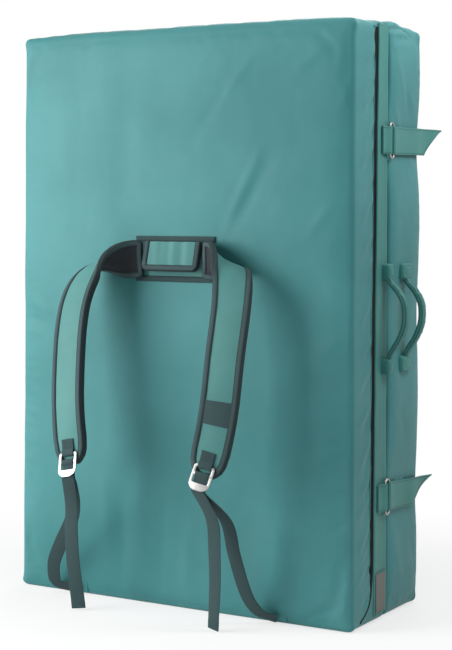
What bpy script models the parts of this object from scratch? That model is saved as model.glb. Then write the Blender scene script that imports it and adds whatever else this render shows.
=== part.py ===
"""A folding bouldering crash pad, stood on its short edge: two foam-filled halves joined by a fabric hinge,
with shoulder straps, ladder locks, carry handles and two ring-and-strap closures.

Metres, +Z up. X runs across the pad, towards its open side. Y runs from the harness face to the back.
The origin is the middle of the front half's flat foot. Run it with blender --background --python part.py.
"""

import math

import bmesh
import bpy
import numpy as np

# Pad halves
PAD_HEIGHT = 1.000
PAD_WIDTH = 0.673
HALF_THICKNESS = 0.130
HALVES_GAP = 0.001
EDGE_RADIUS = 0.014
LANDING_EDGE_RADIUS = 0.008
CORNER_RADIUS = 0.012
FACE_CROWN = 0.008
SIDE_DRAW = 0.0012
COVER_WALL = 0.0015
HEM_WIDTH = 0.012
FIRM_FOAM = 0.022
BASE_FOAM = 0.012
SEAT_GAP = 0.0003
# Crown of the big face: how far in from the edge, and how much of the crown is reached there
crown_shares = ((0.10, 0.40), (0.26, 0.76), (0.44, 0.95), (0.62, 1.0))

# Foam slot in the front half's open side, and what lies beside it
SLOT_FROM_FRONT = 0.088
SLOT_WIDTH = 0.011
SLOT_TOP_MARGIN = 0.018
SLOT_FOOT = 0.020
SLOT_HOOK = 0.030
TAPE_THICKNESS = 0.0012
TAPE_OVERLAP = 0.010
FABRIC = 0.0012
FLAP_MARGIN = 0.013
LABEL_WIDTH = 0.022
LABEL_HEIGHT = 0.064
LABEL_FOOT = 0.016
LABEL_THICKNESS = 0.0008
HINGE_STRIP_REACH = 0.030

# Harness panel and its flap
YOKE_HEIGHT = 0.604
YOKE_WIDTH = 0.157
YOKE_TALL = 0.079
YOKE_WEBBING = 0.010
YOKE_WEBBING_OVERHANG = 0.002
FLAP_WIDTH = 0.113
FLAP_TALL = 0.051
FLAP_PADDING = 0.007
FLAP_LEAN = 0.013
BINDING_WIDTH = 0.010
BINDING_THICKNESS = 0.0012

# Shoulder straps: spread and stand-off are measured from the root, drop from the yoke's middle
SHOULDER_WIDTH = 0.066
SHOULDER_PADDING = 0.007
SHOULDER_LAYER = 0.0011
SHOULDER_GAP = 0.0005
SHOULDER_ROOT = 0.062
SHOULDER_SPREAD = 0.094
SHOULDER_STAND_OFF = 0.120
SHOULDER_DROP = 0.352
FOLD_LIFT = 0.008
BAND_FROM_TIP = 0.086
BAND_TALL = 0.041
BAND_THICKNESS = 0.0008
# Edges of the strap as (spread, stand-off, drop) shares: the edge that starts on top, then the one that
# starts below. They cross over where the strap folds, so the top edge becomes the inner one.
upper_edge_shares = (
    (0.000, 0.041, -0.089),
    (0.175, 0.065, -0.087),
    (0.255, 0.172, -0.082),
    (0.330, 0.305, -0.057),
    (0.425, 0.380, -0.023),
    (0.500, 0.430, 0.011),
    (0.575, 0.520, 0.082),
    (0.653, 0.642, 0.182),
    (0.665, 0.745, 0.330),
    (0.645, 0.800, 0.437),
    (0.585, 0.895, 0.722),
    (0.410, 0.960, 0.995),
)
lower_edge_shares = (
    (0.000, 0.041, 0.091),
    (0.200, 0.058, 0.090),
    (0.510, 0.072, 0.085),
    (0.830, 0.092, 0.068),
    (1.064, 0.150, 0.057),
    (1.181, 0.272, 0.062),
    (1.277, 0.405, 0.108),
    (1.362, 0.551, 0.193),
    (1.365, 0.665, 0.330),
    (1.350, 0.730, 0.437),
    (1.287, 0.830, 0.722),
    (1.080, 0.930, 0.995),
)
FOLD_END_SHARE = 0.34
# Half-width of the padded strap along its length, as shares of length and of half its width
plan_shares = ((0.0, 0.86), (0.012, 0.96), (0.03, 1.0), (0.90, 1.0), (0.945, 0.93), (0.972, 0.78), (0.99, 0.55), (1.0, 0.36))
thickness_shares = ((0.0, 0.40), (0.10, 0.62), (0.2, 1.0), (1.0, 1.0))

# Webbing and ladder locks. Places on a lock are measured down from the axis of its upper bar.
WEBBING_WIDTH = 0.025
WEBBING = 0.0013
LOCK_ABOVE_TIP = 0.019
LOCK_TAB_LENGTH = 0.024
LOCK_TILT = 14.0
LOCK_WIDTH = 0.038
LOCK_HEIGHT = 0.042
LOCK_PLATE = 0.0022
LOCK_BAR = 0.0030
LOCK_WINDOW_WIDTH = 0.0285
LOCK_MIDDLE_BAR = 0.0140
LOCK_THUMB_START = 0.0285
LOCK_THUMB_LIFT = 0.0015
BAR_CLEARANCE = 0.0007
# Outline of the lock: how far down it, and how much of its half-width is there
lock_outline_shares = (
    (0.00, 0.84),
    (0.05, 0.97),
    (0.15, 1.00),
    (0.70, 1.00),
    (0.84, 0.90),
    (0.94, 0.66),
    (1.00, 0.34),
)

# The free tail hangs nearly to the floor: (across, stand-off from the face, height)
TAIL_SPREAD = 0.143
TAIL_STAND_OFF = 0.119
TAIL_HEIGHT = 0.222
TAIL_FOOT = 0.0035
TAIL_TURN = 0.32
tail_shares = (
    (0.950, 1.000, 1.000),
    (0.985, 0.975, 0.826),
    (1.000, 0.940, 0.580),
    (0.992, 0.908, 0.350),
    (0.957, 0.866, 0.110),
    (0.943, 0.850, 0.000),
)
# How the tail dives behind the lock below the middle bar: shares of the webbing's own reach, down and out
tail_dive_shares = ((1.25, 0.45), (2.1, -0.6))
# The standing webbing comes off a tab at the foot of the face, sags outward and climbs behind the lock
ANCHOR_SPREAD = 0.202
ANCHOR_TAB_WIDTH = 0.030
ANCHOR_TAB_TOP = 0.030
ANCHOR_TAB_FOOT = 0.005
STANDING_STAND_OFF = 0.110
STANDING_HEIGHT = 0.225
STANDING_FOOT = 0.0085
STANDING_TURN = 0.22
right_standing_shares = (
    (0.735, 1.000, 1.000),
    (0.760, 0.860, 0.800),
    (0.780, 0.680, 0.545),
    (0.792, 0.455, 0.290),
    (0.822, 0.310, 0.135),
    (0.876, 0.185, 0.045),
    (0.940, 0.085, 0.012),
    (0.990, 0.040, 0.000),
)
left_standing_shares = (
    (0.735, 1.000, 1.000),
    (0.757, 0.845, 0.815),
    (0.840, 0.680, 0.650),
    (1.040, 0.480, 0.406),
    (1.150, 0.370, 0.250),
    (1.195, 0.270, 0.132),
    (1.205, 0.185, 0.052),
    (1.130, 0.118, 0.022),
    (0.990, 0.050, 0.010),
)

# Carry handles on the open side
HANDLE_HEIGHT = 0.506
HANDLE_SPAN = 0.130
HANDLE_REACH = 0.030
HANDLE_WIDTH = 0.018
HANDLE_THICKNESS = 0.0095
HANDLE_END_LIFT = 0.0100
HANDLE_GAP = 0.0005
HANDLE_PATCH_TALL = 0.028
HANDLE_PATCH_RISE = 0.0150
FRONT_HANDLE_FROM_FRONT = 0.1180
FRONT_PATCH_WIDTH = 0.022
REAR_HANDLE_FROM_FRONT = 0.188
REAR_PATCH_WIDTH = 0.041
# Bulge of the handle down its length, and the swell of its section there
handle_bulge_shares = (
    (0.0, 0.0),
    (0.06, 0.20),
    (0.16, 0.60),
    (0.30, 0.93),
    (0.45, 1.0),
    (0.60, 0.92),
    (0.76, 0.62),
    (0.90, 0.22),
    (1.0, 0.0),
)
handle_swell_shares = ((0.0, 0.86), (0.1, 0.92), (0.3, 1.0), (0.7, 1.0), (0.9, 0.92), (1.0, 0.86))
# Section of the flattened tube: (across, out)
handle_section_shares = (
    (-1.0, 0.0),
    (-0.78, 0.80),
    (-0.35, 1.0),
    (0.35, 1.0),
    (0.78, 0.80),
    (1.0, 0.0),
    (0.78, -0.80),
    (0.35, -1.0),
    (-0.35, -1.0),
    (-0.78, -0.80),
)

# Closures: a webbing loop on the front half, a ring, and a strap doubled back through it
UPPER_CLOSURE_HEIGHT = 0.808
LOWER_CLOSURE_HEIGHT = 0.206
UPPER_CLOSURE_CLIMB = 0.020
LOWER_CLOSURE_CLIMB = -0.058
CLOSURE_WIDTH = 0.047
CLOSURE_LEAF = 0.0014
RING_LENGTH = 0.063
RING_WIDTH = 0.019
RING_WIRE = 0.004
RING_CORNER = 0.0070
RING_CLEARANCE = 0.0008
RING_LIFT = 0.0060
LOOP_LENGTH = 0.024
UPPER_RING_FROM_FRONT = 0.1345
LOWER_RING_FROM_FRONT = 0.1215
CLOSURE_ROOT_FROM_RING = 0.042
CLOSURE_ROOT_LENGTH = 0.036
CLOSURE_ROOT_GAP = 0.001
UPPER_TAIL_TIP = 0.219
LOWER_TAIL_TIP = 0.187
CLOSURE_TAIL_SLANT = 0.081
GRIP_TAPE_FROM_BAR = 0.012
GRIP_TAPE_LENGTH = 0.020
GRIP_TAPE_THICKNESS = 0.0016
# End of the strap: how far along its slanting cut, and how much of its width is gone there
tail_cut_shares = ((0.0, 0.0), (0.12, 0.19), (0.30, 0.42), (0.55, 0.68), (0.80, 0.87), (0.97, 0.96))

# Counts
TALL_SIDE_POINTS = 7
SHORT_SIDE_POINTS = 3
CORNER_STEPS = 3
ARC_STEPS = 3
SHOULDER_STATIONS = 41
STRAIGHT_STRIDE = 4
EASING_PASSES = 6
WEBBING_STATIONS = 14
TURN_STEPS = 4
WIRE_SIDES = 8

# Places that follow from the sizes above
INTERFACE_Y = HALF_THICKNESS / 2 + HALVES_GAP / 2
FRONT_WALL_Y = -HALF_THICKNESS / 2
FRONT_TOP_Y = FRONT_WALL_Y - FACE_CROWN
WALL_X = PAD_WIDTH / 2
PANEL_FRONT_Y = FRONT_TOP_Y - SEAT_GAP - FABRIC
WEBBING_FRONT_Y = PANEL_FRONT_Y - SEAT_GAP - WEBBING
FOLD_AXIS_X = -WALL_X - SEAT_GAP - FABRIC - SEAT_GAP

FABRIC_TEAL = (0.115, 0.310, 0.295)
WEBBING_SLATE = (0.045, 0.075, 0.080)
LINING_CHARCOAL = (0.030, 0.032, 0.038)
METAL_WHITE = (0.82, 0.83, 0.84)
TAPE_BLACK = (0.012, 0.013, 0.014)
LABEL_GREY = (0.155, 0.150, 0.140)
FIRM_FOAM_GREY = (0.20, 0.21, 0.22)
CORE_FOAM_CREAM = (0.72, 0.66, 0.48)


def clear_scene():
    for old in list(bpy.data.objects):
        bpy.data.objects.remove(old, do_unlink=True)


def material(name, colour, roughness=0.6, metallic=0.0):
    made = bpy.data.materials.get(name)
    if made is None:
        made = bpy.data.materials.new(name)
        made.use_nodes = True
        shader = made.node_tree.nodes["Principled BSDF"]
        shader.inputs["Base Color"].default_value = (*colour, 1)
        shader.inputs["Roughness"].default_value = roughness
        shader.inputs["Metallic"].default_value = metallic
    return made


def fabric():
    return material("coated_fabric", FABRIC_TEAL, 0.55)


def webbing():
    return material("webbing", WEBBING_SLATE, 0.75)


def lining():
    return material("lining", LINING_CHARCOAL, 0.9)


def metal():
    return material("cast_metal", METAL_WHITE, 0.3, 1.0)


def add_node(name, points, faces, look, pivot=(0.0, 0.0, 0.0)):
    """An object of its own, with its origin on the axis that it turns about."""
    mesh = bpy.data.meshes.new(name)
    pivot = np.array(pivot, float)
    mesh.from_pydata([tuple(np.array(p) - pivot) for p in points], [], faces)
    mesh.validate()
    solid = bpy.data.objects.new(name, mesh)
    solid.location = pivot
    bpy.context.scene.collection.objects.link(solid)
    face_out(solid)
    mesh.materials.append(look)
    mesh.shade_smooth()
    mesh.set_sharp_from_angle(angle=math.radians(40))
    return solid


def face_out(solid):
    work = bmesh.new()
    work.from_mesh(solid.data)
    bmesh.ops.triangulate(work, faces=[f for f in work.faces if len(f.verts) > 4])
    bmesh.ops.recalc_face_normals(work, faces=work.faces)
    if work.calc_volume(signed=True) < 0:
        bmesh.ops.reverse_faces(work, faces=work.faces)
    work.to_mesh(solid.data)
    work.free()


def loft(loops, closed=False, chart=None):
    """A skin through loops of equal count, capped at both ends unless the row of loops closes on itself.

    A chart gives each point a place (along, across). Then every quad is split on the diagonal that rises
    in it, so that layers which lie on each other bend alike.
    """
    count = len(loops[0])
    points = [tuple(p) for loop in loops for p in loop]
    places = [place for row in chart for place in row] if chart else None
    faces = []
    rows = len(loops) if closed else len(loops) - 1
    for row in range(rows):
        here = row * count
        there = (row + 1) % len(loops) * count
        for k in range(count):
            after = (k + 1) % count
            quad = (here + k, here + after, there + after, there + k)
            if places is None:
                faces.append(quad)
            elif rises(places, quad[0], quad[2]) >= rises(places, quad[1], quad[3]):
                faces += [(quad[0], quad[1], quad[2]), (quad[0], quad[2], quad[3])]
            else:
                faces += [(quad[0], quad[1], quad[3]), (quad[1], quad[2], quad[3])]
    if not closed:
        last = (len(loops) - 1) * count
        faces.append(tuple(range(count)))
        faces.append(tuple(range(last + count - 1, last - 1, -1)))
    return points, faces


def rises(places, one, other):
    return (places[other][0] - places[one][0]) * (places[other][1] - places[one][1])


def follow(shares, at):
    """Reads a table of (place, value) shares between its rows."""
    places = [row[0] for row in shares]
    values = [row[1] for row in shares]
    return float(np.interp(at, places, values))


def smooth_path(points, count):
    """A smooth curve through hand-set points, read at even steps along its length."""
    points = np.array(points, float)
    padded = np.vstack([2 * points[0] - points[1], points, 2 * points[-1] - points[-2]])
    fine = []
    for k in range(1, len(padded) - 2):
        before, here, there, after = padded[k - 1 : k + 3]
        for t in np.linspace(0, 1, 12, endpoint=False):
            fine.append(
                0.5
                * (
                    2 * here
                    + (there - before) * t
                    + (2 * before - 5 * here + 4 * there - after) * t**2
                    + (3 * here - before - 3 * there + after) * t**3
                )
            )
    fine.append(points[-1])
    fine = np.array(fine)
    run = np.concatenate([[0], np.cumsum(np.linalg.norm(np.diff(fine, axis=0), axis=1))])
    at = np.linspace(0, run[-1], count)
    return np.column_stack([np.interp(at, run, fine[:, axis]) for axis in range(3)])


def unit(vector):
    return vector / np.linalg.norm(vector)


# Pad halves


def side_draw(height):
    """How far a wall is pulled in between its two corners, which stand out as small ears."""
    run = (height - CORNER_RADIUS) / (PAD_HEIGHT - 2 * CORNER_RADIUS)
    run = min(max(run, 0.0), 1.0)
    return SIDE_DRAW * 4 * run * (1 - run)


def outline(inset, right_extra=0.0):
    """The pad's outline in X and Z, inset from its edge, flat along the foot."""
    left = -WALL_X + inset
    right = WALL_X - inset - right_extra
    low = inset
    high = PAD_HEIGHT - inset
    radius = CORNER_RADIUS
    fade = 1 - inset / WALL_X
    found = []

    def corner(x, z, start):
        for step in range(CORNER_STEPS + 1):
            angle = start + step / CORNER_STEPS * math.pi / 2
            found.append((x + radius * math.cos(angle), z + radius * math.sin(angle)))

    corner(left + radius, low + radius, math.pi)
    for x in np.linspace(left + radius, right - radius, SHORT_SIDE_POINTS + 2)[1:-1]:
        found.append((x, low))
    corner(right - radius, low + radius, 1.5 * math.pi)
    for z in np.linspace(low + radius, high - radius, TALL_SIDE_POINTS + 2)[1:-1]:
        found.append((right - side_draw(z) * fade, z))
    corner(right - radius, high - radius, 0)
    for share in np.linspace(0, 1, SHORT_SIDE_POINTS + 2)[1:-1]:
        x = right - radius - share * (right - left - 2 * radius)
        found.append((x, high - SIDE_DRAW * 4 * share * (1 - share) * fade))
    corner(left + radius, high - radius, 0.5 * math.pi)
    for z in np.linspace(high - radius, low + radius, TALL_SIDE_POINTS + 2)[1:-1]:
        found.append((left + side_draw(z) * fade, z))
    return found


def outer_profile(offset):
    """(inset, depth) from the wall, round its edge and up to the middle of the crowned face."""
    rows = []
    for step in range(ARC_STEPS + 1):
        angle = step / ARC_STEPS * math.pi / 2
        rows.append(
            (
                offset + (EDGE_RADIUS - offset) * (1 - math.cos(angle)),
                HALF_THICKNESS - EDGE_RADIUS + (EDGE_RADIUS - offset) * math.sin(angle),
            )
        )
    for span_share, crown_share in crown_shares:
        inset = EDGE_RADIUS + span_share * (WALL_X - EDGE_RADIUS)
        rows.append((inset, HALF_THICKNESS - offset + FACE_CROWN * crown_share))
    return rows


def landing_profile(offset):
    """(inset, depth) from the landing face, round its edge, to the wall."""
    rows = []
    for step in range(ARC_STEPS + 1):
        angle = (1 - step / ARC_STEPS) * math.pi / 2
        rows.append(
            (
                offset + (LANDING_EDGE_RADIUS - offset) * (1 - math.cos(angle)),
                LANDING_EDGE_RADIUS - (LANDING_EDGE_RADIUS - offset) * math.sin(angle),
            )
        )
    return rows


def face_depth(inset):
    """Depth of the crowned face at a distance in from the pad's edge."""
    rows = outer_profile(0.0)
    return float(np.interp(inset, [row[0] for row in rows], [row[1] for row in rows]))


def depth_to_y(half, depth):
    if half == "front":
        return INTERFACE_Y - HALVES_GAP / 2 - depth
    return INTERFACE_Y + HALVES_GAP / 2 + depth


def pad_loops(half, profile, right_extra=0.0):
    loops = []
    for inset, depth in profile:
        y = depth_to_y(half, depth)
        loops.append([(x, y, z) for x, z in outline(inset, right_extra)])
    return loops


def make_cover(half):
    """Outer face, four walls and a hem turned in on the landing side, open where the landing sheet closes it."""
    hem = LANDING_EDGE_RADIUS + HEM_WIDTH
    profile = outer_profile(0.0)[::-1]
    profile += landing_profile(0.0)[::-1]
    profile += [(hem, 0.0), (hem, COVER_WALL)]
    profile += landing_profile(COVER_WALL)
    profile += outer_profile(COVER_WALL)
    points, faces = loft(pad_loops(half, profile))
    return add_node(half + "_cover", points, faces, fabric(), half_pivot(half))


def half_pivot(half):
    return (0.0, 0.0, 0.0) if half == "front" else (FOLD_AXIS_X, INTERFACE_Y, 0.0)


def make_landing_sheet(half):
    inset = LANDING_EDGE_RADIUS + HEM_WIDTH + SEAT_GAP
    points, faces = loft(pad_loops(half, [(inset, 0.0), (inset, COVER_WALL)]))
    add_node(half + "_landing_sheet", points, faces, fabric(), half_pivot(half))


def make_foam(half):
    """Three slabs: a firm one under the landing sheet, a soft core and a thin base, seated on each other."""
    offset = COVER_WALL + SEAT_GAP
    tape_room = TAPE_THICKNESS + SEAT_GAP if half == "front" else 0.0
    firm_end = offset + FIRM_FOAM
    core_end = HALF_THICKNESS - EDGE_RADIUS - BASE_FOAM / 2
    slabs = {
        "firm": landing_profile(offset) + [(offset, firm_end)],
        "core": [(offset, firm_end + SEAT_GAP), (offset, core_end)],
        "base": [(offset, core_end + SEAT_GAP)] + outer_profile(offset),
    }
    for name, profile in slabs.items():
        colour = CORE_FOAM_CREAM if name == "core" else FIRM_FOAM_GREY
        look = material(name + "_foam", colour, 0.95)
        points, faces = loft(pad_loops(half, profile, tape_room))
        add_node(half + "_" + name + "_foam", points, faces, look, half_pivot(half))


def wall_heights(low, high):
    """Heights at which a piece laid on a side wall bends with it."""
    own = [z for x, z in outline(0.0) if low < z < high]
    return sorted({round(z, 9) for z in own} | {low, high})


def wall_plate(name, side, y_ends, z_ends, lifts, look, pivot=(0.0, 0.0, 0.0)):
    """A flat piece of fabric that follows a side wall, between two lifts off it."""
    loops = []
    for z in wall_heights(*z_ends):
        wall = WALL_X - side_draw(z)
        near = side * (wall + lifts[0])
        far = side * (wall + lifts[1])
        loops.append([(near, y_ends[0], z), (far, y_ends[0], z), (far, y_ends[1], z), (near, y_ends[1], z)])
    points, faces = loft(loops)
    return add_node(name, points, faces, look, pivot)


def slot_path():
    """Middle line of the foam slot in Y and Z: straight down, then curving forward at its foot."""
    y = FRONT_WALL_Y + SLOT_FROM_FRONT + SLOT_WIDTH / 2
    top = PAD_HEIGHT - SLOT_TOP_MARGIN
    bend = SLOT_FOOT + SLOT_WIDTH
    path = [(y, top), (y, top - SLOT_WIDTH / 2), (y, bend + SLOT_HOOK / 2)]
    for step in range(1, ARC_STEPS + 1):
        angle = step / ARC_STEPS * math.pi / 2
        path.append((y - SLOT_HOOK / 2 * (1 - math.cos(angle)), bend + SLOT_HOOK / 2 * (1 - math.sin(angle))))
    path.append((y - SLOT_HOOK, bend))
    return path


def cut_slot(cover):
    path = slot_path()
    depth = COVER_WALL + SIDE_DRAW + TAPE_THICKNESS
    loops = []
    for index, (y, z) in enumerate(path):
        before = np.array(path[max(index - 1, 0)])
        after = np.array(path[min(index + 1, len(path) - 1)])
        along = unit(after - before)
        across = np.array([-along[1], along[0]])
        half = SLOT_WIDTH / 2 if 0 < index < len(path) - 1 else SLOT_WIDTH / 4
        one = np.array([y, z]) + across * half
        two = np.array([y, z]) - across * half
        loops.append(
            [
                (WALL_X - depth, *one),
                (WALL_X + depth, *one),
                (WALL_X + depth, *two),
                (WALL_X - depth, *two),
            ]
        )
    points, faces = loft(loops)
    cut_out(cover, "slot_cutter", points, faces)


def make_slot_pieces():
    """The black closure behind the slot, the hemmed flap beside it and the bare patch on its foot."""
    slot_near = FRONT_WALL_Y + SLOT_FROM_FRONT
    slot_far = slot_near + SLOT_WIDTH
    inside = -(COVER_WALL + SEAT_GAP)
    tape_look = material("closure_tape", TAPE_BLACK, 0.9)
    wall_plate(
        "front_closure_tape",
        1,
        (slot_near - SLOT_HOOK - TAPE_OVERLAP, slot_far + TAPE_OVERLAP),
        (SLOT_FOOT, PAD_HEIGHT - CORNER_RADIUS - COVER_WALL - SEAT_GAP),
        (inside - TAPE_THICKNESS, inside),
        tape_look,
    )
    flap_far = depth_to_y("front", LANDING_EDGE_RADIUS / 4)
    wall_plate(
        "front_slot_flap",
        1,
        (slot_far, flap_far),
        (FLAP_MARGIN, PAD_HEIGHT - FLAP_MARGIN),
        (SEAT_GAP, SEAT_GAP + FABRIC),
        fabric(),
    )
    label_lift = SEAT_GAP + FABRIC + SEAT_GAP
    label_near = slot_far + SEAT_GAP
    wall_plate(
        "side_label_patch",
        1,
        (label_near, label_near + LABEL_WIDTH),
        (LABEL_FOOT, LABEL_FOOT + LABEL_HEIGHT),
        (label_lift, label_lift + LABEL_THICKNESS),
        material("label", LABEL_GREY, 0.8),
    )


def make_fold_hinge():
    wall_plate(
        "fold_hinge_strip",
        -1,
        (INTERFACE_Y - HINGE_STRIP_REACH, INTERFACE_Y + HINGE_STRIP_REACH),
        (FLAP_MARGIN, PAD_HEIGHT - FLAP_MARGIN),
        (SEAT_GAP, SEAT_GAP + FABRIC),
        fabric(),
    )


# Harness


def face_plate(name, x_ends, z_ends, y_back, thickness, look, pivot=(0.0, 0.0, 0.0)):
    loops = []
    for x in x_ends:
        loops.append(
            [
                (x, y_back, z_ends[0]),
                (x, y_back, z_ends[1]),
                (x, y_back - thickness, z_ends[1]),
                (x, y_back - thickness, z_ends[0]),
            ]
        )
    points, faces = loft(loops)
    return add_node(name, points, faces, look, pivot)


def make_yoke():
    half = YOKE_WIDTH / 2
    low = YOKE_HEIGHT - YOKE_TALL / 2
    high = YOKE_HEIGHT + YOKE_TALL / 2
    face_plate("yoke_panel", (-half, half), (low, high), FRONT_TOP_Y - SEAT_GAP, FABRIC, fabric())
    wide = half + YOKE_WEBBING_OVERHANG
    back = PANEL_FRONT_Y - SEAT_GAP
    face_plate("yoke_top_webbing", (-wide, wide), (high - YOKE_WEBBING, high), back, WEBBING, webbing())
    face_plate("yoke_bottom_webbing", (-wide, wide), (low, low + YOKE_WEBBING), back, WEBBING, webbing())


def flap_frame():
    """Top seam of the flap, and the way it hangs: down and slightly off the panel."""
    top = np.array([0.0, PANEL_FRONT_Y - SEAT_GAP - flap_half_thickness(), flap_top()])
    foot = top + np.array([0.0, -FLAP_LEAN, -FLAP_TALL])
    down = unit(foot - top)
    out = np.array([0.0, down[2], -down[1]])
    return top, down, out


def flap_half_thickness():
    return FLAP_PADDING / 2 + SEAT_GAP + BINDING_THICKNESS


def flap_top():
    return YOKE_HEIGHT + YOKE_TALL / 2 - YOKE_WEBBING - SEAT_GAP


def make_flap():
    """A padded flap sewn along its top edge, bound on its other three sides."""
    top, down, out = flap_frame()
    half = FLAP_WIDTH / 2
    inner = half - BINDING_THICKNESS - SEAT_GAP
    length = FLAP_TALL - BINDING_THICKNESS - SEAT_GAP
    corner = BINDING_WIDTH - SEAT_GAP
    columns = []
    for step in range(ARC_STEPS + 1):
        angle = step / ARC_STEPS * math.pi / 2
        columns.append((inner - corner + corner * math.cos(angle), length - corner + corner * math.sin(angle)))
    columns.append((inner / 3, length))
    columns += [(-x, reach) for x, reach in columns[::-1]]
    loops = []
    for x, reach in columns:
        ring = []
        for direction in (1, -1):
            side = []
            for run_share in (0.0, 0.15, 0.5, 0.85, 1.0)[::direction]:
                middle = top + np.array([x, 0, 0]) + down * reach * run_share
                side.append(tuple(middle + out * direction * FLAP_PADDING / 2))
            ring += side
        loops.append(ring)
    points, faces = loft(loops)
    pivot = tuple(top)
    add_node("yoke_flap_pad", points, faces, fabric(), pivot)

    near = FLAP_PADDING / 2 + SEAT_GAP
    far = near + BINDING_THICKNESS
    section = (
        (BINDING_WIDTH, near),
        (BINDING_THICKNESS, near),
        (BINDING_THICKNESS, -near),
        (BINDING_WIDTH, -near),
        (BINDING_WIDTH, -far),
        (0.0, -far),
        (0.0, far),
        (BINDING_WIDTH, far),
    )
    corner = BINDING_WIDTH + BINDING_THICKNESS
    stations = [(-half, 0.0, 1.0, 0.0)]
    for side in (-1, 1):
        for step in range(ARC_STEPS + 1):
            angle = step / ARC_STEPS * math.pi / 2
            if side == 1:
                angle = math.pi / 2 - angle
            stations.append(
                (
                    side * (half - corner + corner * math.cos(angle)),
                    FLAP_TALL - corner + corner * math.sin(angle),
                    -side * math.cos(angle),
                    -math.sin(angle),
                )
            )
    stations.append((half, 0.0, -1.0, 0.0))
    loops = []
    for x, run, in_x, in_run in stations:
        base = top + np.array([x, 0, 0]) + down * run
        inward = np.array([in_x, 0, 0]) + down * in_run
        loops.append([tuple(base + inward * across + out * up) for across, up in section])
    points, faces = loft(loops)
    add_node("yoke_flap_binding", points, faces, webbing(), pivot)


def shoulder_root_y():
    return WEBBING_FRONT_Y - SEAT_GAP


def shoulder_edge(shares):
    half_sum = []
    for spread, stand_off, drop in shares:
        half_sum.append(
            (
                SHOULDER_ROOT + spread * SHOULDER_SPREAD,
                shoulder_root_y() - stand_off * SHOULDER_STAND_OFF,
                YOKE_HEIGHT - drop * SHOULDER_DROP,
            )
        )
    return smooth_path(half_sum, SHOULDER_STATIONS)


def eased(points):
    """The same row of points with its small kinks smoothed out and its ends kept."""
    for _ in range(EASING_PASSES):
        points = np.vstack([points[:1], (points[:-2] + 2 * points[1:-1] + points[2:]) / 4, points[-1:]])
    return points


def shoulder_frames():
    """Middle, width, outward and along directions at even steps down the strap, and the length run so far."""
    upper = eased(shoulder_edge(upper_edge_shares))
    lower = eased(shoulder_edge(lower_edge_shares))
    middle = (upper + lower) / 2
    run = np.concatenate([[0], np.cumsum(np.linalg.norm(np.diff(middle, axis=0), axis=1))])
    frames = []
    for k in range(len(middle)):
        along = unit(middle[min(k + 1, len(middle) - 1)] - middle[max(k - 1, 0)])
        across = lower[k] - upper[k]
        across = unit(across - along * np.dot(across, along))
        outward = np.cross(along, across)
        frames.append((middle[k], across, outward, along))
    return frames, run


def fold_bulge(run_share):
    """The strap rises into a rounded crest where it folds over."""
    return FOLD_LIFT * math.exp(-(((run_share - 0.19) / 0.085) ** 2))


def shoulder_point(frames, run, at, across_by, out_by):
    """A point on the strap: at is a share of its length, across_by and out_by are metres."""
    place = at * run[-1]
    k = min(int(np.searchsorted(run, place, side="right")) - 1, len(run) - 2)
    k = max(k, 0)
    t = (place - run[k]) / (run[k + 1] - run[k])
    middle, across, outward = (frames[k][i] * (1 - t) + frames[k + 1][i] * t for i in range(3))
    crest = fold_bulge(at) * (1 - (2 * across_by / SHOULDER_WIDTH) ** 2)
    rise = np.array([0.0, 0.0, max(crest, 0.0)])
    return middle + unit(across) * across_by + unit(outward) * out_by + rise


def shoulder_stations():
    """Shares of length at which the layers bend: close together in the fold, wider apart below it."""
    own = [k / (SHOULDER_STATIONS - 1) for k in range(SHOULDER_STATIONS)]
    own = [s for k, s in enumerate(own) if s < FOLD_END_SHARE or k % STRAIGHT_STRIDE == 0]
    ends = [row[0] for row in plan_shares]
    return sorted({round(s, 6) for s in own if ends[2] < s < ends[4]} | {round(s, 6) for s in ends})


def mirrored(points, side):
    return [(side * x, y, z) for x, y, z in points]


def shoulder_slab(side, name, low, high, look, edge_gap, ends=None):
    """One layer of the strap. low and high are (share of half the padding, metres beyond it)."""
    frames, run = shoulder_frames()
    loops = []
    chart = []
    last = -1.0
    first, final = ends or (0.0, 1.0)
    trim = edge_gap / run[-1]
    for at in shoulder_stations():
        at = min(max(at, first + trim), final - trim)
        if at <= last:
            continue
        last = at
        rim = SHOULDER_WIDTH / 2 * follow(plan_shares, at)
        edge = rim - edge_gap * rim_slant(at, run[-1])
        bound = max(rim - BINDING_WIDTH, edge / 2)
        spots = (-edge, -bound, 0.0, bound, edge)
        if ends:
            spots = (-bound + edge_gap, 0.0, bound - edge_gap)
        ring = [shoulder_point(frames, run, at, spot, shoulder_level(at, *high)) for spot in spots]
        ring += [shoulder_point(frames, run, at, spot, shoulder_level(at, *low)) for spot in spots[::-1]]
        chart.append([(at, spot) for spot in spots + spots[::-1]])
        loops.append(ring)
    points, faces = loft(loops, chart=chart)
    add_node(name, mirrored(points, side), faces, look, shoulder_pivot(side))


def rim_slant(at, length):
    """How much further an inset reaches across the strap where its rim runs at a slant."""
    step = 0.004
    before = max(at - step, 0.0)
    after = min(at + step, 1.0)
    rise = SHOULDER_WIDTH / 2 * (follow(plan_shares, after) - follow(plan_shares, before))
    return math.hypot(1.0, rise / (length * (after - before)))


def shoulder_level(at, padding_share, beyond):
    swell = follow(thickness_shares, min(max(at, 0.0), 1.0))
    return SHOULDER_PADDING / 2 * padding_share * swell + beyond


def shoulder_pivot(side):
    """The back edge of the strap's sewn root."""
    stand_off = upper_edge_shares[0][1] * SHOULDER_STAND_OFF
    thick = shoulder_level(0.0, 1, shoulder_outer())
    return (side * SHOULDER_ROOT, shoulder_root_y() - stand_off + thick, YOKE_HEIGHT)


def shoulder_inner():
    """How far the binding's near face stands off the padding."""
    return SHOULDER_GAP + SHOULDER_LAYER + SHOULDER_GAP


def shoulder_outer():
    return shoulder_inner() + BINDING_THICKNESS


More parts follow.
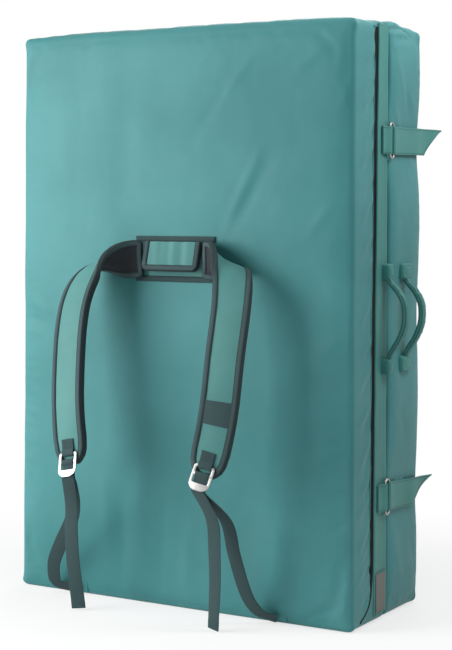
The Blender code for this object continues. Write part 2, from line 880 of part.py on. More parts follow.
def make_shoulder_binding(side, name):
    """A C-shaped tape folded over the strap's edge all the way round, joined into one ring."""
    frames, run = shoulder_frames()
    near = shoulder_inner()
    far = shoulder_outer()
    section = (
        (BINDING_WIDTH, 1, near),
        (BINDING_THICKNESS, 1, near),
        (BINDING_THICKNESS, -1, -near),
        (BINDING_WIDTH, -1, -near),
        (BINDING_WIDTH, -1, -far),
        (0.0, -1, -far),
        (0.0, 1, far),
        (BINDING_WIDTH, 1, far),
    )
    half = SHOULDER_WIDTH / 2
    stations = shoulder_stations()
    rim = [(at * run[-1], half * follow(plan_shares, at)) for at in stations]
    root_half = rim[0][1]
    tip_half = rim[-1][1]
    steps = 3
    rim += [(run[-1], tip_half * (1 - 2 * k / steps)) for k in range(1, steps)]
    rim += [(at * run[-1], -half * follow(plan_shares, at)) for at in stations[::-1]]
    rim += [(0.0, -root_half * (1 - 2 * k / steps)) for k in range(1, steps)]
    rim = np.array(rim)
    loops = []
    chart = []
    for k in range(len(rim)):
        before = rim[k] - rim[k - 1]
        after = rim[(k + 1) % len(rim)] - rim[k]
        turn = unit(unit(before) + unit(after))
        inward = np.array([turn[1], -turn[0]])
        spots = [rim[k] + inward * inset for inset, _, _ in section]
        loop = []
        for place, (_, padding_share, beyond) in zip(spots, section):
            at = place[0] / run[-1]
            loop.append(shoulder_point(frames, run, at, place[1], shoulder_level(at, padding_share, beyond)))
        loops.append(loop)
        chart.append([tuple(place) for place in spots])
    points, faces = loft(loops, closed=True, chart=chart)
    add_node(name, mirrored(points, side), faces, webbing(), shoulder_pivot(side))


def make_shoulder(side):
    label = "left" if side < 0 else "right"
    edge = BINDING_THICKNESS + SHOULDER_GAP
    layer = SHOULDER_GAP + SHOULDER_LAYER
    firm = material("firm_foam", FIRM_FOAM_GREY, 0.95)
    shoulder_slab(side, label + "_shoulder_foam", (-1, 0.0), (1, 0.0), firm, edge)
    shoulder_slab(side, label + "_shoulder_cover", (1, SHOULDER_GAP), (1, layer), fabric(), edge)
    shoulder_slab(side, label + "_shoulder_lining", (-1, -layer), (-1, -SHOULDER_GAP), lining(), edge)
    make_shoulder_binding(side, label + "_shoulder_binding")
    if side > 0:
        run = shoulder_frames()[1][-1]
        ends = (1 - (BAND_FROM_TIP + BAND_TALL) / run, 1 - BAND_FROM_TIP / run)
        low = (1, layer + SEAT_GAP)
        high = (1, layer + SEAT_GAP + BAND_THICKNESS)
        shoulder_slab(side, label + "_shoulder_band", low, high, webbing(), SEAT_GAP, ends)


# Webbing


def ribbon(name, places, acrosses, edges, thickness, look, pivot=(0.0, 0.0, 0.0), side=1):
    """A strip of webbing down a path. edges holds how far it reaches to either side of the path."""
    places = np.array(places, float)
    loops = []
    for k, place in enumerate(places):
        along = unit(places[min(k + 1, len(places) - 1)] - places[max(k - 1, 0)])
        across = np.array(acrosses[k] if len(acrosses) > 1 else acrosses[0], float)
        across = unit(across - along * np.dot(across, along))
        out = np.cross(along, across) * thickness / 2
        low, high = edges[k] if len(edges) > 1 else edges[0]
        loops.append(
            [
                tuple(place + across * low - out),
                tuple(place + across * high - out),
                tuple(place + across * high + out),
                tuple(place + across * low + out),
            ]
        )
    points, faces = loft(loops)
    return add_node(name, mirrored(points, side), faces, look, pivot)


def turn(middle, radius, start, end):
    """Points on an arc in the plane of (along, out), both angles in degrees."""
    found = []
    for step in range(TURN_STEPS + 1):
        angle = math.radians(start + step / TURN_STEPS * (end - start))
        found.append((middle[0] + radius * math.cos(angle), middle[1] + radius * math.sin(angle)))
    return found


def lock_frame():
    """Axis of the lock's upper bar on the right strap, with the lock's across, down and outward directions."""
    frames, run = shoulder_frames()
    at = 1 - LOCK_ABOVE_TIP / run[-1]
    level = shoulder_level(at, 1, shoulder_inner() + WEBBING + BAR_CLEARANCE + LOCK_PLATE / 2)
    bar = shoulder_point(frames, run, at, 0.0, level)
    _, across, outward, along = frames[-2]
    tilt = math.radians(LOCK_TILT)
    down = unit(along * math.cos(tilt) + outward * math.sin(tilt))
    across = unit(across - down * np.dot(across, down))
    return bar, across, down, np.cross(down, across), along, outward


def lock_place(down_by, out_by):
    bar, _, down, out, _, _ = lock_frame()
    return bar + down * down_by + out * out_by


def lock_pivot(side):
    bar = lock_frame()[0]
    return (side * bar[0], bar[1], bar[2])


def make_lock_tab(side, label):
    """Webbing folded round the lock's upper bar, both of its ends sewn flat on the strap."""
    bar, across, _, _, along, outward = lock_frame()
    radius = LOCK_PLATE / 2 + BAR_CLEARANCE + WEBBING / 2
    pinched = -radius + WEBBING + SEAT_GAP
    path = [(-LOCK_TAB_LENGTH, -radius), (0.0, -radius)]
    path += turn((LOCK_BAR / 2, 0.0), radius, -90, 90)
    path += [(-LOCK_BAR, radius), (-LOCK_BAR - 2 * radius, pinched), (-LOCK_TAB_LENGTH, pinched)]
    places = [bar + along * down_by + outward * out_by for down_by, out_by in path]
    half = WEBBING_WIDTH / 2
    ribbon(label + "_lock_tab", places, [across], [(-half, half)], WEBBING, webbing(), shoulder_pivot(side), side)


def make_lock(side, label):
    """A cast plate with two windows. The bar between them takes the webbing, the rounded end is the thumb tab."""
    bar, across, down, out, _, _ = lock_frame()
    top = -LOCK_BAR / 2
    loops = []
    for share, width_share in lock_outline_shares:
        run = top + share * LOCK_HEIGHT
        beyond = max(run - LOCK_THUMB_START, 0.0) / (LOCK_HEIGHT + top - LOCK_THUMB_START)
        lift = LOCK_THUMB_LIFT * beyond**2
        half = LOCK_WIDTH / 2 * width_share
        thick = LOCK_PLATE / 2
        loop = []
        for x, w in ((-half, -0.5), (-half, 0.5), (-0.9 * half, 1), (0.9 * half, 1)):
            loop.append(bar + across * x + down * run + out * (lift + w * thick))
        for x, w in ((half, 0.5), (half, -0.5), (0.9 * half, -1), (-0.9 * half, -1)):
            loop.append(bar + across * x + down * run + out * (lift + w * thick))
        loops.append(loop)
    points, faces = loft(loops)
    lock = add_node(label + "_ladder_lock", mirrored(points, side), faces, metal(), lock_pivot(side))
    windows = {
        "upper": (LOCK_BAR / 2, LOCK_MIDDLE_BAR - LOCK_BAR / 2),
        "lower": (LOCK_MIDDLE_BAR + LOCK_BAR / 2, LOCK_THUMB_START),
    }
    half = LOCK_WINDOW_WIDTH / 2
    for name, ends in windows.items():
        loops = []
        for run in ends:
            loop = []
            for x, w in ((-half, -1), (-half, 1), (half, 1), (half, -1)):
                loop.append(bar + across * x + down * run + out * (w * LOCK_PLATE))
            loops.append(loop)
        points, faces = loft(loops)
        cut_out(lock, label + "_" + name + "_window", mirrored(points, side), faces)


def bar_reach():
    """How far the middle line of webbing stands off the middle of the bar that it wraps."""
    return LOCK_PLATE / 2 + BAR_CLEARANCE + WEBBING / 2


def make_tail(side, label):
    """The free end: over the lock's middle bar, down through the lower window and on to the floor."""
    bar, across, _, _, _, _ = lock_frame()
    reach = bar_reach()
    over = LOCK_BAR / 2 + BAR_CLEARANCE + WEBBING / 2
    centre = LOCK_MIDDLE_BAR
    path = [
        (centre + BAR_CLEARANCE, -reach),
        (centre - over * 0.62, -reach),
        (centre - over, -reach * 0.45),
        (centre - over, reach * 0.45),
        (centre - over * 0.62, reach),
        (centre + over * 0.55, reach),
        (centre + over * tail_dive_shares[0][0], reach * tail_dive_shares[0][1]),
        (centre + over * tail_dive_shares[1][0], reach * tail_dive_shares[1][1]),
        (LOCK_THUMB_START - LOCK_BAR / 2, -reach),
        (LOCK_THUMB_START + LOCK_BAR, -reach),
        (LOCK_HEIGHT - LOCK_BAR / 2, -reach * 1.2),
    ]
    places = [lock_place(*spot) for spot in path]
    count = len(places)
    rows = []
    for x, y, z in tail_shares:
        height = TAIL_FOOT + (TAIL_HEIGHT - TAIL_FOOT) * z
        rows.append((TAIL_SPREAD * x, FRONT_WALL_Y - TAIL_STAND_OFF * y, height))
    hang = smooth_path([places[-1]] + rows[1:], WEBBING_STATIONS)
    places += list(hang[1:])
    turned = np.array([1.0, -TAIL_TURN, 0.0])
    acrosses = []
    for k in range(len(places)):
        share = max(k - count, 0) / (len(places) - count)
        acrosses.append(across * (1 - share) + turned * share)
    half = WEBBING_WIDTH / 2
    thumb_end = lock_place(LOCK_HEIGHT - LOCK_BAR / 2, -reach)
    pivot = (side * thumb_end[0], thumb_end[1], thumb_end[2])
    ribbon(label + "_tail_webbing", places, acrosses, [(-half, half)], WEBBING, webbing(), pivot, side)


def make_standing(side, label, shares, turn_up):
    """From the tab at the foot of the face, up behind the tail, to the back of the lock's middle bar."""
    across = lock_frame()[1]
    reach = bar_reach()
    behind = reach + WEBBING + BAR_CLEARANCE
    places = [
        lock_place(LOCK_MIDDLE_BAR + BAR_CLEARANCE + SEAT_GAP + WEBBING, -reach - WEBBING / 4),
        lock_place((LOCK_MIDDLE_BAR + LOCK_THUMB_START) / 2, -behind),
        lock_place(LOCK_THUMB_START + LOCK_BAR, -behind - WEBBING / 2),
        lock_place(LOCK_HEIGHT - LOCK_BAR / 2, -behind - WEBBING * 1.5),
    ]
    count = len(places)
    rows = []
    for x, y, z in shares:
        height = STANDING_FOOT + (STANDING_HEIGHT - STANDING_FOOT) * z
        rows.append((ANCHOR_SPREAD * x, FRONT_WALL_Y - STANDING_STAND_OFF * y, height))
    path = smooth_path([places[-1]] + rows[1:], WEBBING_STATIONS)
    places += list(path[1:])
    turned = np.array([1.0, 0.0, turn_up])
    acrosses = []
    for k in range(len(places)):
        share = max(k - count, 0) / (len(places) - count)
        acrosses.append(across * (1 - share) + turned * share)
    half = WEBBING_WIDTH / 2
    ribbon(label + "_standing_webbing", places, acrosses, [(-half, half)], WEBBING, webbing(), side=side)


def make_anchor_tab(side, label):
    """A short tab that follows the rounded foot of the face."""
    rows = [row for row in outer_profile(0.0) if ANCHOR_TAB_FOOT <= row[0]]
    rows = [row for row in rows if row[0] < ANCHOR_TAB_TOP]
    rows.append((ANCHOR_TAB_TOP, face_depth(ANCHOR_TAB_TOP)))
    lift = SEAT_GAP + WEBBING / 2
    places = []
    for k, (inset, depth) in enumerate(rows):
        before = np.array(rows[max(k - 1, 0)])
        after = np.array(rows[min(k + 1, len(rows) - 1)])
        along = unit(after - before)
        places.append((ANCHOR_SPREAD, depth_to_y("front", depth + lift * along[0]), inset - lift * along[1]))
    half = ANCHOR_TAB_WIDTH / 2
    ribbon(label + "_anchor_tab", places, [(1, 0, 0)], [(-half, half)], WEBBING, webbing(), side=side)


def cut_out(target, name, points, faces):
    cutter = add_node(name, points, faces, fabric())
    cutter.hide_render = True
    cutter.display_type = "WIRE"
    cut = target.modifiers.new(name, "BOOLEAN")
    cut.operation = "DIFFERENCE"
    cut.solver = "EXACT"
    cut.object = cutter


# Open side: handles and closures


def wall_at(z, spread=0.0):
    """The side wall's X over a height, where it stands furthest out."""
    return WALL_X - min(side_draw(z - spread), side_draw(z + spread))


def make_handle(half):
    front = half == "front"
    y = FRONT_WALL_Y + (FRONT_HANDLE_FROM_FRONT if front else REAR_HANDLE_FROM_FRONT + HALVES_GAP)
    under = SEAT_GAP + FABRIC + SEAT_GAP if front else SEAT_GAP
    base = wall_at(HANDLE_HEIGHT, HANDLE_SPAN / 2) + under
    top = HANDLE_HEIGHT + HANDLE_SPAN / 2
    loops = []
    for share, bulge in handle_bulge_shares:
        swell = follow(handle_swell_shares, share)
        here = np.array([base + HANDLE_END_LIFT + HANDLE_REACH * bulge, y, top - HANDLE_SPAN * share])
        before = follow(handle_bulge_shares, max(share - 0.05, 0.0))
        after = follow(handle_bulge_shares, min(share + 0.05, 1.0))
        along = unit(np.array([HANDLE_REACH * (after - before), 0.0, -HANDLE_SPAN * 0.1]))
        if share in (0.0, 1.0):
            along = np.array([0.0, 0.0, -1.0])
        out = np.array([-along[2], 0.0, along[0]])
        loop = []
        for across_share, out_share in handle_section_shares:
            spot = here + out * (out_share * swell * HANDLE_THICKNESS / 2)
            spot[1] += across_share * swell * HANDLE_WIDTH / 2
            loop.append(tuple(spot))
        loops.append(loop)
    points, faces = loft(loops)
    pivot = (base + HANDLE_END_LIFT, y, HANDLE_HEIGHT)
    add_node(half + "_carry_handle", points, faces, fabric(), pivot)
    width = FRONT_PATCH_WIDTH if front else REAR_PATCH_WIDTH
    for name, direction in (("top", 1), ("bottom", -1)):
        near = HANDLE_HEIGHT + direction * (HANDLE_SPAN / 2 + HANDLE_GAP)
        far = near + direction * HANDLE_PATCH_TALL
        make_handle_patch(half, name, y, width, sorted((near, far)), under)


def make_handle_patch(half, name, y, width, z_ends, under):
    """A sewn pad over the handle's end: flat on the wall, swelling to a rounded top."""
    low, high = z_ends
    middle = (low + high) / 2
    base = wall_at(middle, (high - low) / 2) + under
    loops = []
    for reach_share, rise_share in ((1.0, 0.0), (1.0, 0.45), (0.93, 0.82), (0.74, 1.0)):
        y_half = width / 2 * reach_share
        z_half = (high - low) / 2 * (reach_share if rise_share > 0.5 else 1.0)
        x = base + HANDLE_PATCH_RISE * rise_share
        loops.append(
            [
                (x, y - y_half, middle - z_half),
                (x, y + y_half, middle - z_half),
                (x, y + y_half, middle + z_half),
                (x, y - y_half, middle + z_half),
            ]
        )
    points, faces = loft(loops)
    pivot = half_pivot(half)
    add_node(half + "_handle_" + name + "_patch", points, faces, fabric(), pivot)


def make_closure(name, height, from_front, climb, tail_tip):
    ring_y = FRONT_WALL_Y + from_front
    ring_x = WALL_X + RING_LIFT
    reach = RING_WIDTH / 2 - RING_WIRE / 2
    make_ring(name, ring_x, ring_y, height, reach)
    around = RING_WIRE / 2 + RING_CLEARANCE + CLOSURE_LEAF / 2
    half = CLOSURE_WIDTH / 2

    # The loop: out of the front half's seam, round the ring's front bar and back
    front_bar = ring_y - reach
    seated = wall_at(height, half) + SEAT_GAP + FABRIC + SEAT_GAP + CLOSURE_LEAF / 2
    sewn_end = front_bar - LOOP_LENGTH
    sewn = front_bar - LOOP_LENGTH * 0.5
    folded = seated + CLOSURE_LEAF + SEAT_GAP
    path = [(sewn_end, seated), (sewn, seated), (front_bar, ring_x - around)]
    path += turn((front_bar, ring_x), around, -90, 90)[1:]
    path += [(sewn, folded), (sewn_end, folded)]
    places = [(x, y, height) for y, x in path]
    up = [(0, 0, 1)]
    edges = [(-half, half)]
    ribbon(name + "_ring_loop", places, up, edges, CLOSURE_LEAF, webbing())

    # The strap: up to the ring's rear bar, round it and back past the rear face
    rear_bar = ring_y + reach
    inner = ring_x - around
    tape = SEAT_GAP + GRIP_TAPE_THICKNESS + SEAT_GAP
    outer = inner + CLOSURE_LEAF + tape
    root = ring_y + CLOSURE_ROOT_FROM_RING
    path = [(root - CLOSURE_ROOT_GAP, inner), (rear_bar + GRIP_TAPE_FROM_BAR, inner), (rear_bar, inner)]
    path += turn((rear_bar, ring_x), around, 270, 90)[1:]
    path += [(rear_bar + GRIP_TAPE_FROM_BAR * 0.8, outer), (root, outer)]
    edges = [(-half, half)] * len(path)
    cut_end = ring_y + tail_tip
    cut_start = cut_end - CLOSURE_TAIL_SLANT
    for share, gone in tail_cut_shares:
        path.append((cut_start + share * (cut_end - cut_start), outer))
        edges.append((-half + gone * CLOSURE_WIDTH, half))
    places = [(x, y, height + climb * (y - rear_bar)) for y, x in path]
    pivot = (ring_x, rear_bar, height)
    ribbon(name + "_closure_strap", places, up, edges, CLOSURE_LEAF, fabric(), pivot)

    near = inner + CLOSURE_LEAF / 2 + SEAT_GAP
    start = rear_bar + GRIP_TAPE_FROM_BAR
    place_x = near + GRIP_TAPE_THICKNESS / 2
    places = [(place_x, y, height + climb * (y - rear_bar)) for y in (start, start + GRIP_TAPE_LENGTH)]
    tape_half = half - SEAT_GAP - CLOSURE_LEAF
    look = material("closure_tape", TAPE_BLACK, 0.9)
    ribbon(name + "_grip_tape", places, up, [(-tape_half, tape_half)], GRIP_TAPE_THICKNESS, look, pivot)

    wall_plate(
        name + "_strap_root",
        1,
        (root, root + CLOSURE_ROOT_LENGTH),
        (height - half, height + half),
        (SEAT_GAP, SEAT_GAP + CLOSURE_LEAF),
        fabric(),
        half_pivot("rear"),
    )


def make_ring(name, x, y, z, reach):
    """A bent wire ring with straight sides and rounded ends, its origin on its front bar."""
    tall = RING_LENGTH / 2 - RING_WIRE / 2 - RING_CORNER
    wide = reach - RING_CORNER
    loops = []
    for quarter, (side_y, side_z) in enumerate(((1, 1), (-1, 1), (-1, -1), (1, -1))):
        for step in range(CORNER_STEPS + 1):
            angle = (quarter + step / CORNER_STEPS) * math.pi / 2
            out_y, out_z = math.cos(angle), math.sin(angle)
            middle_y = y + side_y * wide + RING_CORNER * out_y
            middle_z = z + side_z * tall + RING_CORNER * out_z
            loop = []
            for k in range(WIRE_SIDES):
                turned = 2 * math.pi * k / WIRE_SIDES
                out = RING_WIRE / 2 * math.cos(turned)
                loop.append((x + RING_WIRE / 2 * math.sin(turned), middle_y + out * out_y, middle_z + out * out_z))
            loops.append(loop)
    points, faces = loft(loops, closed=True)
    add_node(name + "_ring", points, faces, metal(), (x, y - reach, z))


def build():
    clear_scene()
    front = make_cover("front")
    make_cover("rear")
    cut_slot(front)
    for half in ("front", "rear"):
        make_landing_sheet(half)
        make_foam(half)
        make_handle(half)
    make_slot_pieces()
    make_fold_hinge()
    make_yoke()
    make_flap()
    for side, label in ((-1, "left"), (1, "right")):
        make_shoulder(side)
        make_lock_tab(side, label)
        make_lock(side, label)
        make_tail(side, label)
        make_anchor_tab(side, label)
    make_standing(-1, "left", left_standing_shares, -STANDING_TURN)
    make_standing(1, "right", right_standing_shares, STANDING_TURN)
    make_closure("upper", UPPER_CLOSURE_HEIGHT, UPPER_RING_FROM_FRONT, UPPER_CLOSURE_CLIMB, UPPER_TAIL_TIP)
    make_closure("lower", LOWER_CLOSURE_HEIGHT, LOWER_RING_FROM_FRONT, LOWER_CLOSURE_CLIMB, LOWER_TAIL_TIP)


build()
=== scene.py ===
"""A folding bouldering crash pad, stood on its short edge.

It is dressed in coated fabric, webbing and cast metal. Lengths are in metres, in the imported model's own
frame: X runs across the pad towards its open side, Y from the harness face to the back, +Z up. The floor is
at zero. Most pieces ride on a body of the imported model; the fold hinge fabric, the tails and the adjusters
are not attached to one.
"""

import math

import bmesh
import bpy
import numpy as np
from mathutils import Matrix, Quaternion, Vector, noise


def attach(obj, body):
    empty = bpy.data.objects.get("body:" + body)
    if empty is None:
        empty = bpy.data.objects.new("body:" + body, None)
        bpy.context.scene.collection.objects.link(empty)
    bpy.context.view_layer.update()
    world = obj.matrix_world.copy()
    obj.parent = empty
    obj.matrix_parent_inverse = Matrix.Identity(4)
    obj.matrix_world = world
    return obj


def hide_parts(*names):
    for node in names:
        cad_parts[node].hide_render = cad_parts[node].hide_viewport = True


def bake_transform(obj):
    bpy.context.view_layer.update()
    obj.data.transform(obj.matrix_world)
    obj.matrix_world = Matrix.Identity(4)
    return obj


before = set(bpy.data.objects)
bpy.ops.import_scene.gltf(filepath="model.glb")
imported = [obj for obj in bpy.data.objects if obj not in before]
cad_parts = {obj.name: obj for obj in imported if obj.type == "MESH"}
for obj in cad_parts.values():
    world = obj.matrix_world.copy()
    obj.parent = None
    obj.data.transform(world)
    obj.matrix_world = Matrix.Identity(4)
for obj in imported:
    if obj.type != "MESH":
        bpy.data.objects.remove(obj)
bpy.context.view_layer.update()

# Pad halves
PAD_HEIGHT = 1.000
PAD_WIDTH = 0.673
HALF_THICKNESS = 0.130
HALVES_GAP = 0.001
EDGE_RADIUS = 0.008
LANDING_EDGE_RADIUS = 0.008
CORNER_RADIUS = 0.013
FACE_CROWN = 0.008
SIDE_DRAW = 0.0012
TOP_RISE = 0.003
SEAT_GAP = 0.0003
GRID_STEP = 0.010
FINE_STEP = 0.0065
CORNER_EAR = 0.005
CORNER_EAR_REACH = 0.014
INTERFACE_Y = HALF_THICKNESS / 2 + HALVES_GAP / 2
FRONT_WALL_Y = -HALF_THICKNESS / 2
WALL_X = PAD_WIDTH / 2
FRONT_TOP_Y = FRONT_WALL_Y - FACE_CROWN
CLOSURE_HOLD = 0.075
HARNESS_HOLD = 0.045
# The closed side lies flat against itself when the pad is opened, so it hardly swells
CLOSED_SWELL = 0.0005
# How far above and below its middle a carry handle keeps the wall from swelling, and by what share
HANDLE_HOLD = 0.080
HANDLE_HOLD_SHARE = 0.72
# How much of the cover's swelling the wall beside the open slot takes
SLOT_SIDE_SLACK = 0.10
# How far each half's open side swells between its closures, and leans outward towards its top
wall_swell = {"front": 0.0004, "rear": 0.0056}
wall_lean = {"front": 0.0004, "rear": 0.0022}
TOP_LIFT_REACH = 0.060
# How far the top end stands above its seams, over the depth of each half from its landing side
end_rise_rows = {
    "front": (
        (0.0, 0.0090),
        (0.023, 0.0095),
        (0.045, 0.0050),
        (0.097, 0.0043),
        (0.122, 0.0028),
        (0.130, 0.0010),
    ),
    "rear": (
        (0.0, 0.0085),
        (0.030, 0.0140),
        (0.055, 0.0105),
        (0.070, 0.0088),
        (0.105, 0.0092),
        (0.122, 0.0050),
        (0.130, 0.0015),
    ),
}
# Tangents of even steps round a quarter of a rounded edge
edge_step_shares = (0.268, 0.577, 1.0)
# How steeply the big face's crown falls off across and up, and how the wall's draw does
CROWN_ACROSS_POWER = 3.2
CROWN_UP_POWER = 4
WALL_DRAW_POWER = 12
END_RISE_POWER = 6

# Where the covers' cloth is divided more finely
REAR_FINE_DEPTHS = (0.010, 0.096)
REAR_FINE_HEIGHTS = (0.955, 0.986)
FRONT_FINE_HEIGHTS = (0.020, 0.056)
FRONT_FINE_STEP = 0.004
slot_line_shares = (0.30, 0.0, -0.25, -0.5, -0.75, -1.0, -1.30)

# How the cloth swells and settles, and how uneven it is
CLOTH_PRESSURE = 5.0
CLOTH_SLACK = 0.012
CLOTH_FRAMES = 14
CLOTH_OUT = 0.0030
CLOTH_IN = 0.0012
CLOTH_SLIDE_SHARE = 0.3
CLOTH_MASS = 0.35
CLOTH_TENSION = 18
CLOTH_COMPRESSION = 12
CLOTH_SHEAR = 6
CLOTH_BENDING = 0.6
CLOTH_QUALITY = 4
CLOSURE_HOLD_SHARE = 0.92
HARNESS_HOLD_SHARE = 0.98
HANDLE_SLACK_SHARE = 0.85
HANDLE_WAVE_SHARE = 0.8
SLOT_SIDE_WAVE_SHARE = 0.35
FOOT_WAVE_SHARE = 0.2
LOW_WAVE = 0.0011
LOW_WAVE_SCALE = 7.0
low_wave_seeds = {"front": 1, "rear": 2}
FINE_WAVE = 0.00035
FINE_WAVE_SCALE = 26.0
FINE_WAVE_SEED = 3
FINE_WAVE_DEPTH = 3
FINE_WAVE_STRETCH = (1.0, 1.0, 0.6)

# How dark the painted shade is in the tucked folds and in the crevice at the open side's landing edge, and
# where it darkens
TUCK_SHADE = 0.55
TUCK_DEPTH = 0.0050
LANDING_SHADE = 0.6
LANDING_SHADE_CLIMB = 0.35
LANDING_SHADE_FROM = 0.70
LANDING_SHADE_OVER = 0.1
LANDING_SHADE_START = 1.25
LANDING_SHADE_REACH_SHARE = 0.34

# Foam slot and what lies beside it
SLOT_FROM_FRONT = 0.088
SLOT_WIDTH = 0.011
SLOT_TOP_MARGIN = 0.018
SLOT_FOOT = 0.020
SLOT_HOOK = 0.030
SLOT_DEPTH = 0.0032
TAPE_SUNK = 0.0010
SLOT_TAPE_TUCK = 0.0022
SLOT_TAPE_FROM_TOP = 0.004
SLOT_SUNK_SHARE = 0.72
SLOT_SOFT_SHARE = 0.2
SLOT_TOP_MIDDLE = 0.0850
SLOT_FOOT_MIDDLE = 0.0730
SLOT_OPEN = 0.0118
SLOT_FADE_LOW = 0.050
SLOT_FADE_HIGH = 0.085
FABRIC = 0.0012
FLAP_MARGIN = 0.013
FLAP_TOP_RISE = 0.004
LABEL_WIDTH = 0.022
LABEL_HEIGHT = 0.064
LABEL_FOOT = 0.016
LABEL_THICKNESS = 0.0008
LABEL_FROM_SLOT = 0.0075
LABEL_BEYOND_SLOT = 0.0015
LABEL_OVER_FLAP = 0.0006
LABEL_STITCH_BESIDE = 0.0022
LABEL_STITCH_ABOVE = 0.004
LABEL_STITCH_CLIMB = 0.001
LABEL_STITCH_PAST = 0.002
FLAP_CLOTH = FABRIC * 1.6
FLAP_HEM = 0.0008
FLAP_RIPPLE = 0.0005
LABEL_RIPPLE = 0.0002
STRIP_RIPPLE = 0.0003
STRIP_STITCH_ENDS = (0.02, 0.98)
WALL_NORMAL = np.array([1.0, 0.0, 0.0])
HINGE_STRIP_REACH = 0.030

# Harness panel and its flap
YOKE_HEIGHT = 0.604
YOKE_WIDTH = 0.157
YOKE_TALL = 0.079
YOKE_WEBBING = 0.010
YOKE_WEBBING_OVERHANG = 0.002
FLAP_WIDTH = 0.113
FLAP_TALL = 0.051
FLAP_PADDING = 0.007
FLAP_LEAN = 0.013
BINDING_WIDTH = 0.010
BINDING_THICKNESS = 0.0012

# Shoulder straps
SHOULDER_WIDTH = 0.066
SHOULDER_PADDING = 0.007
SHOULDER_LAYER = 0.0011
SHOULDER_GAP = 0.0005
SHOULDER_ROOT = 0.062
SHOULDER_SPREAD = 0.094
SHOULDER_STAND_OFF = 0.120
SHOULDER_DROP = 0.352
FOLD_LIFT = 0.008
BAND_FROM_TIP = 0.086
BAND_TALL = 0.041
BAND_THICKNESS = 0.0008
upper_edge_shares = (
    (0.000, 0.041, -0.089),
    (0.175, 0.065, -0.087),
    (0.255, 0.172, -0.082),
    (0.330, 0.305, -0.057),
    (0.425, 0.380, -0.023),
    (0.500, 0.430, 0.011),
    (0.575, 0.520, 0.082),
    (0.653, 0.642, 0.182),
    (0.665, 0.745, 0.330),
    (0.645, 0.800, 0.437),
    (0.585, 0.895, 0.722),
    (0.410, 0.960, 0.995),
)
lower_edge_shares = (
    (0.000, 0.041, 0.091),
    (0.200, 0.058, 0.090),
    (0.510, 0.072, 0.085),
    (0.830, 0.092, 0.068),
    (1.064, 0.150, 0.057),
    (1.181, 0.272, 0.062),
    (1.277, 0.405, 0.108),
    (1.362, 0.551, 0.193),
    (1.365, 0.665, 0.330),
    (1.350, 0.730, 0.437),
    (1.287, 0.830, 0.722),
    (1.080, 0.930, 0.995),
)
plan_shares = (
    (0.0, 0.86),
    (0.012, 0.96),
    (0.03, 1.0),
    (0.90, 1.0),
    (0.945, 0.93),
    (0.972, 0.78),
    (0.99, 0.55),
    (1.0, 0.36),
)
thickness_shares = ((0.0, 0.40), (0.10, 0.62), (0.2, 1.0), (1.0, 1.0))

# Webbing and ladder locks
WEBBING_WIDTH = 0.025
WEBBING = 0.0013
LOCK_ABOVE_TIP = 0.019
LOCK_TAB_LENGTH = 0.024
LOCK_TILT = 14.0
LOCK_WIDTH = 0.038
LOCK_HEIGHT = 0.042
LOCK_PLATE = 0.0022
LOCK_BAR = 0.0030
LOCK_WINDOW_WIDTH = 0.0285
LOCK_MIDDLE_BAR = 0.0140
LOCK_THUMB_START = 0.0285
LOCK_THUMB_LIFT = 0.0015
BAR_CLEARANCE = 0.0007
lock_outline_shares = (
    (0.00, 0.84),
    (0.05, 0.97),
    (0.15, 1.00),
    (0.70, 1.00),
    (0.84, 0.90),
    (0.94, 0.66),
    (1.00, 0.34),
)
TAIL_SPREAD = 0.143
TAIL_STAND_OFF = 0.119
TAIL_HEIGHT = 0.222
TAIL_FOOT = 0.0035
TAIL_TURN = 0.32
TAIL_BEND = 0.018
tail_shares = (
    (0.950, 1.000, 1.000),
    (0.985, 0.975, 0.826),
    (1.000, 0.940, 0.580),
    (0.992, 0.908, 0.350),
    (0.957, 0.866, 0.110),
    (0.943, 0.850, 0.000),
)
ANCHOR_SPREAD = 0.202
ANCHOR_TAB_WIDTH = 0.030
ANCHOR_TAB_TOP = 0.030
ANCHOR_TAB_FOOT = 0.005
STANDING_STAND_OFF = 0.110
STANDING_HEIGHT = 0.225
STANDING_FOOT = 0.0085
STANDING_TURN = 0.22
right_standing_shares = (
    (0.735, 1.000, 1.000),
    (0.760, 0.860, 0.800),
    (0.780, 0.680, 0.545),
    (0.792, 0.455, 0.290),
    (0.822, 0.310, 0.135),
    (0.876, 0.185, 0.045),
    (0.940, 0.085, 0.012),
    (0.990, 0.040, 0.000),
)
left_standing_shares = (
    (0.735, 1.000, 1.000),
    (0.757, 0.845, 0.815),
    (0.840, 0.680, 0.650),
    (1.040, 0.480, 0.406),
    (1.150, 0.370, 0.250),
    (1.195, 0.270, 0.132),
    (1.205, 0.185, 0.052),
    (1.130, 0.118, 0.022),
    (0.990, 0.050, 0.010),
)

# Carry handles
HANDLE_HEIGHT = 0.506
HANDLE_SPAN = 0.130
HANDLE_REACH = 0.030
HANDLE_WIDTH = 0.018
HANDLE_THICKNESS = 0.0095
HANDLE_END_LIFT = 0.0100
HANDLE_PATCH_TALL = 0.028
HANDLE_PATCH_RISE = 0.0150
FRONT_HANDLE_FROM_FRONT = 0.1180
FRONT_PATCH_WIDTH = 0.022
REAR_HANDLE_FROM_FRONT = 0.188
REAR_PATCH_WIDTH = 0.041
handle_bulge_shares = (
    (0.0, 0.0),
    (0.06, 0.20),
    (0.16, 0.60),
    (0.30, 0.93),
    (0.45, 1.0),
    (0.60, 0.92),
    (0.76, 0.62),
    (0.90, 0.22),
    (1.0, 0.0),
)
handle_swell_shares = ((0.0, 0.86), (0.1, 0.92), (0.3, 1.0), (0.7, 1.0), (0.9, 0.92), (1.0, 0.86))

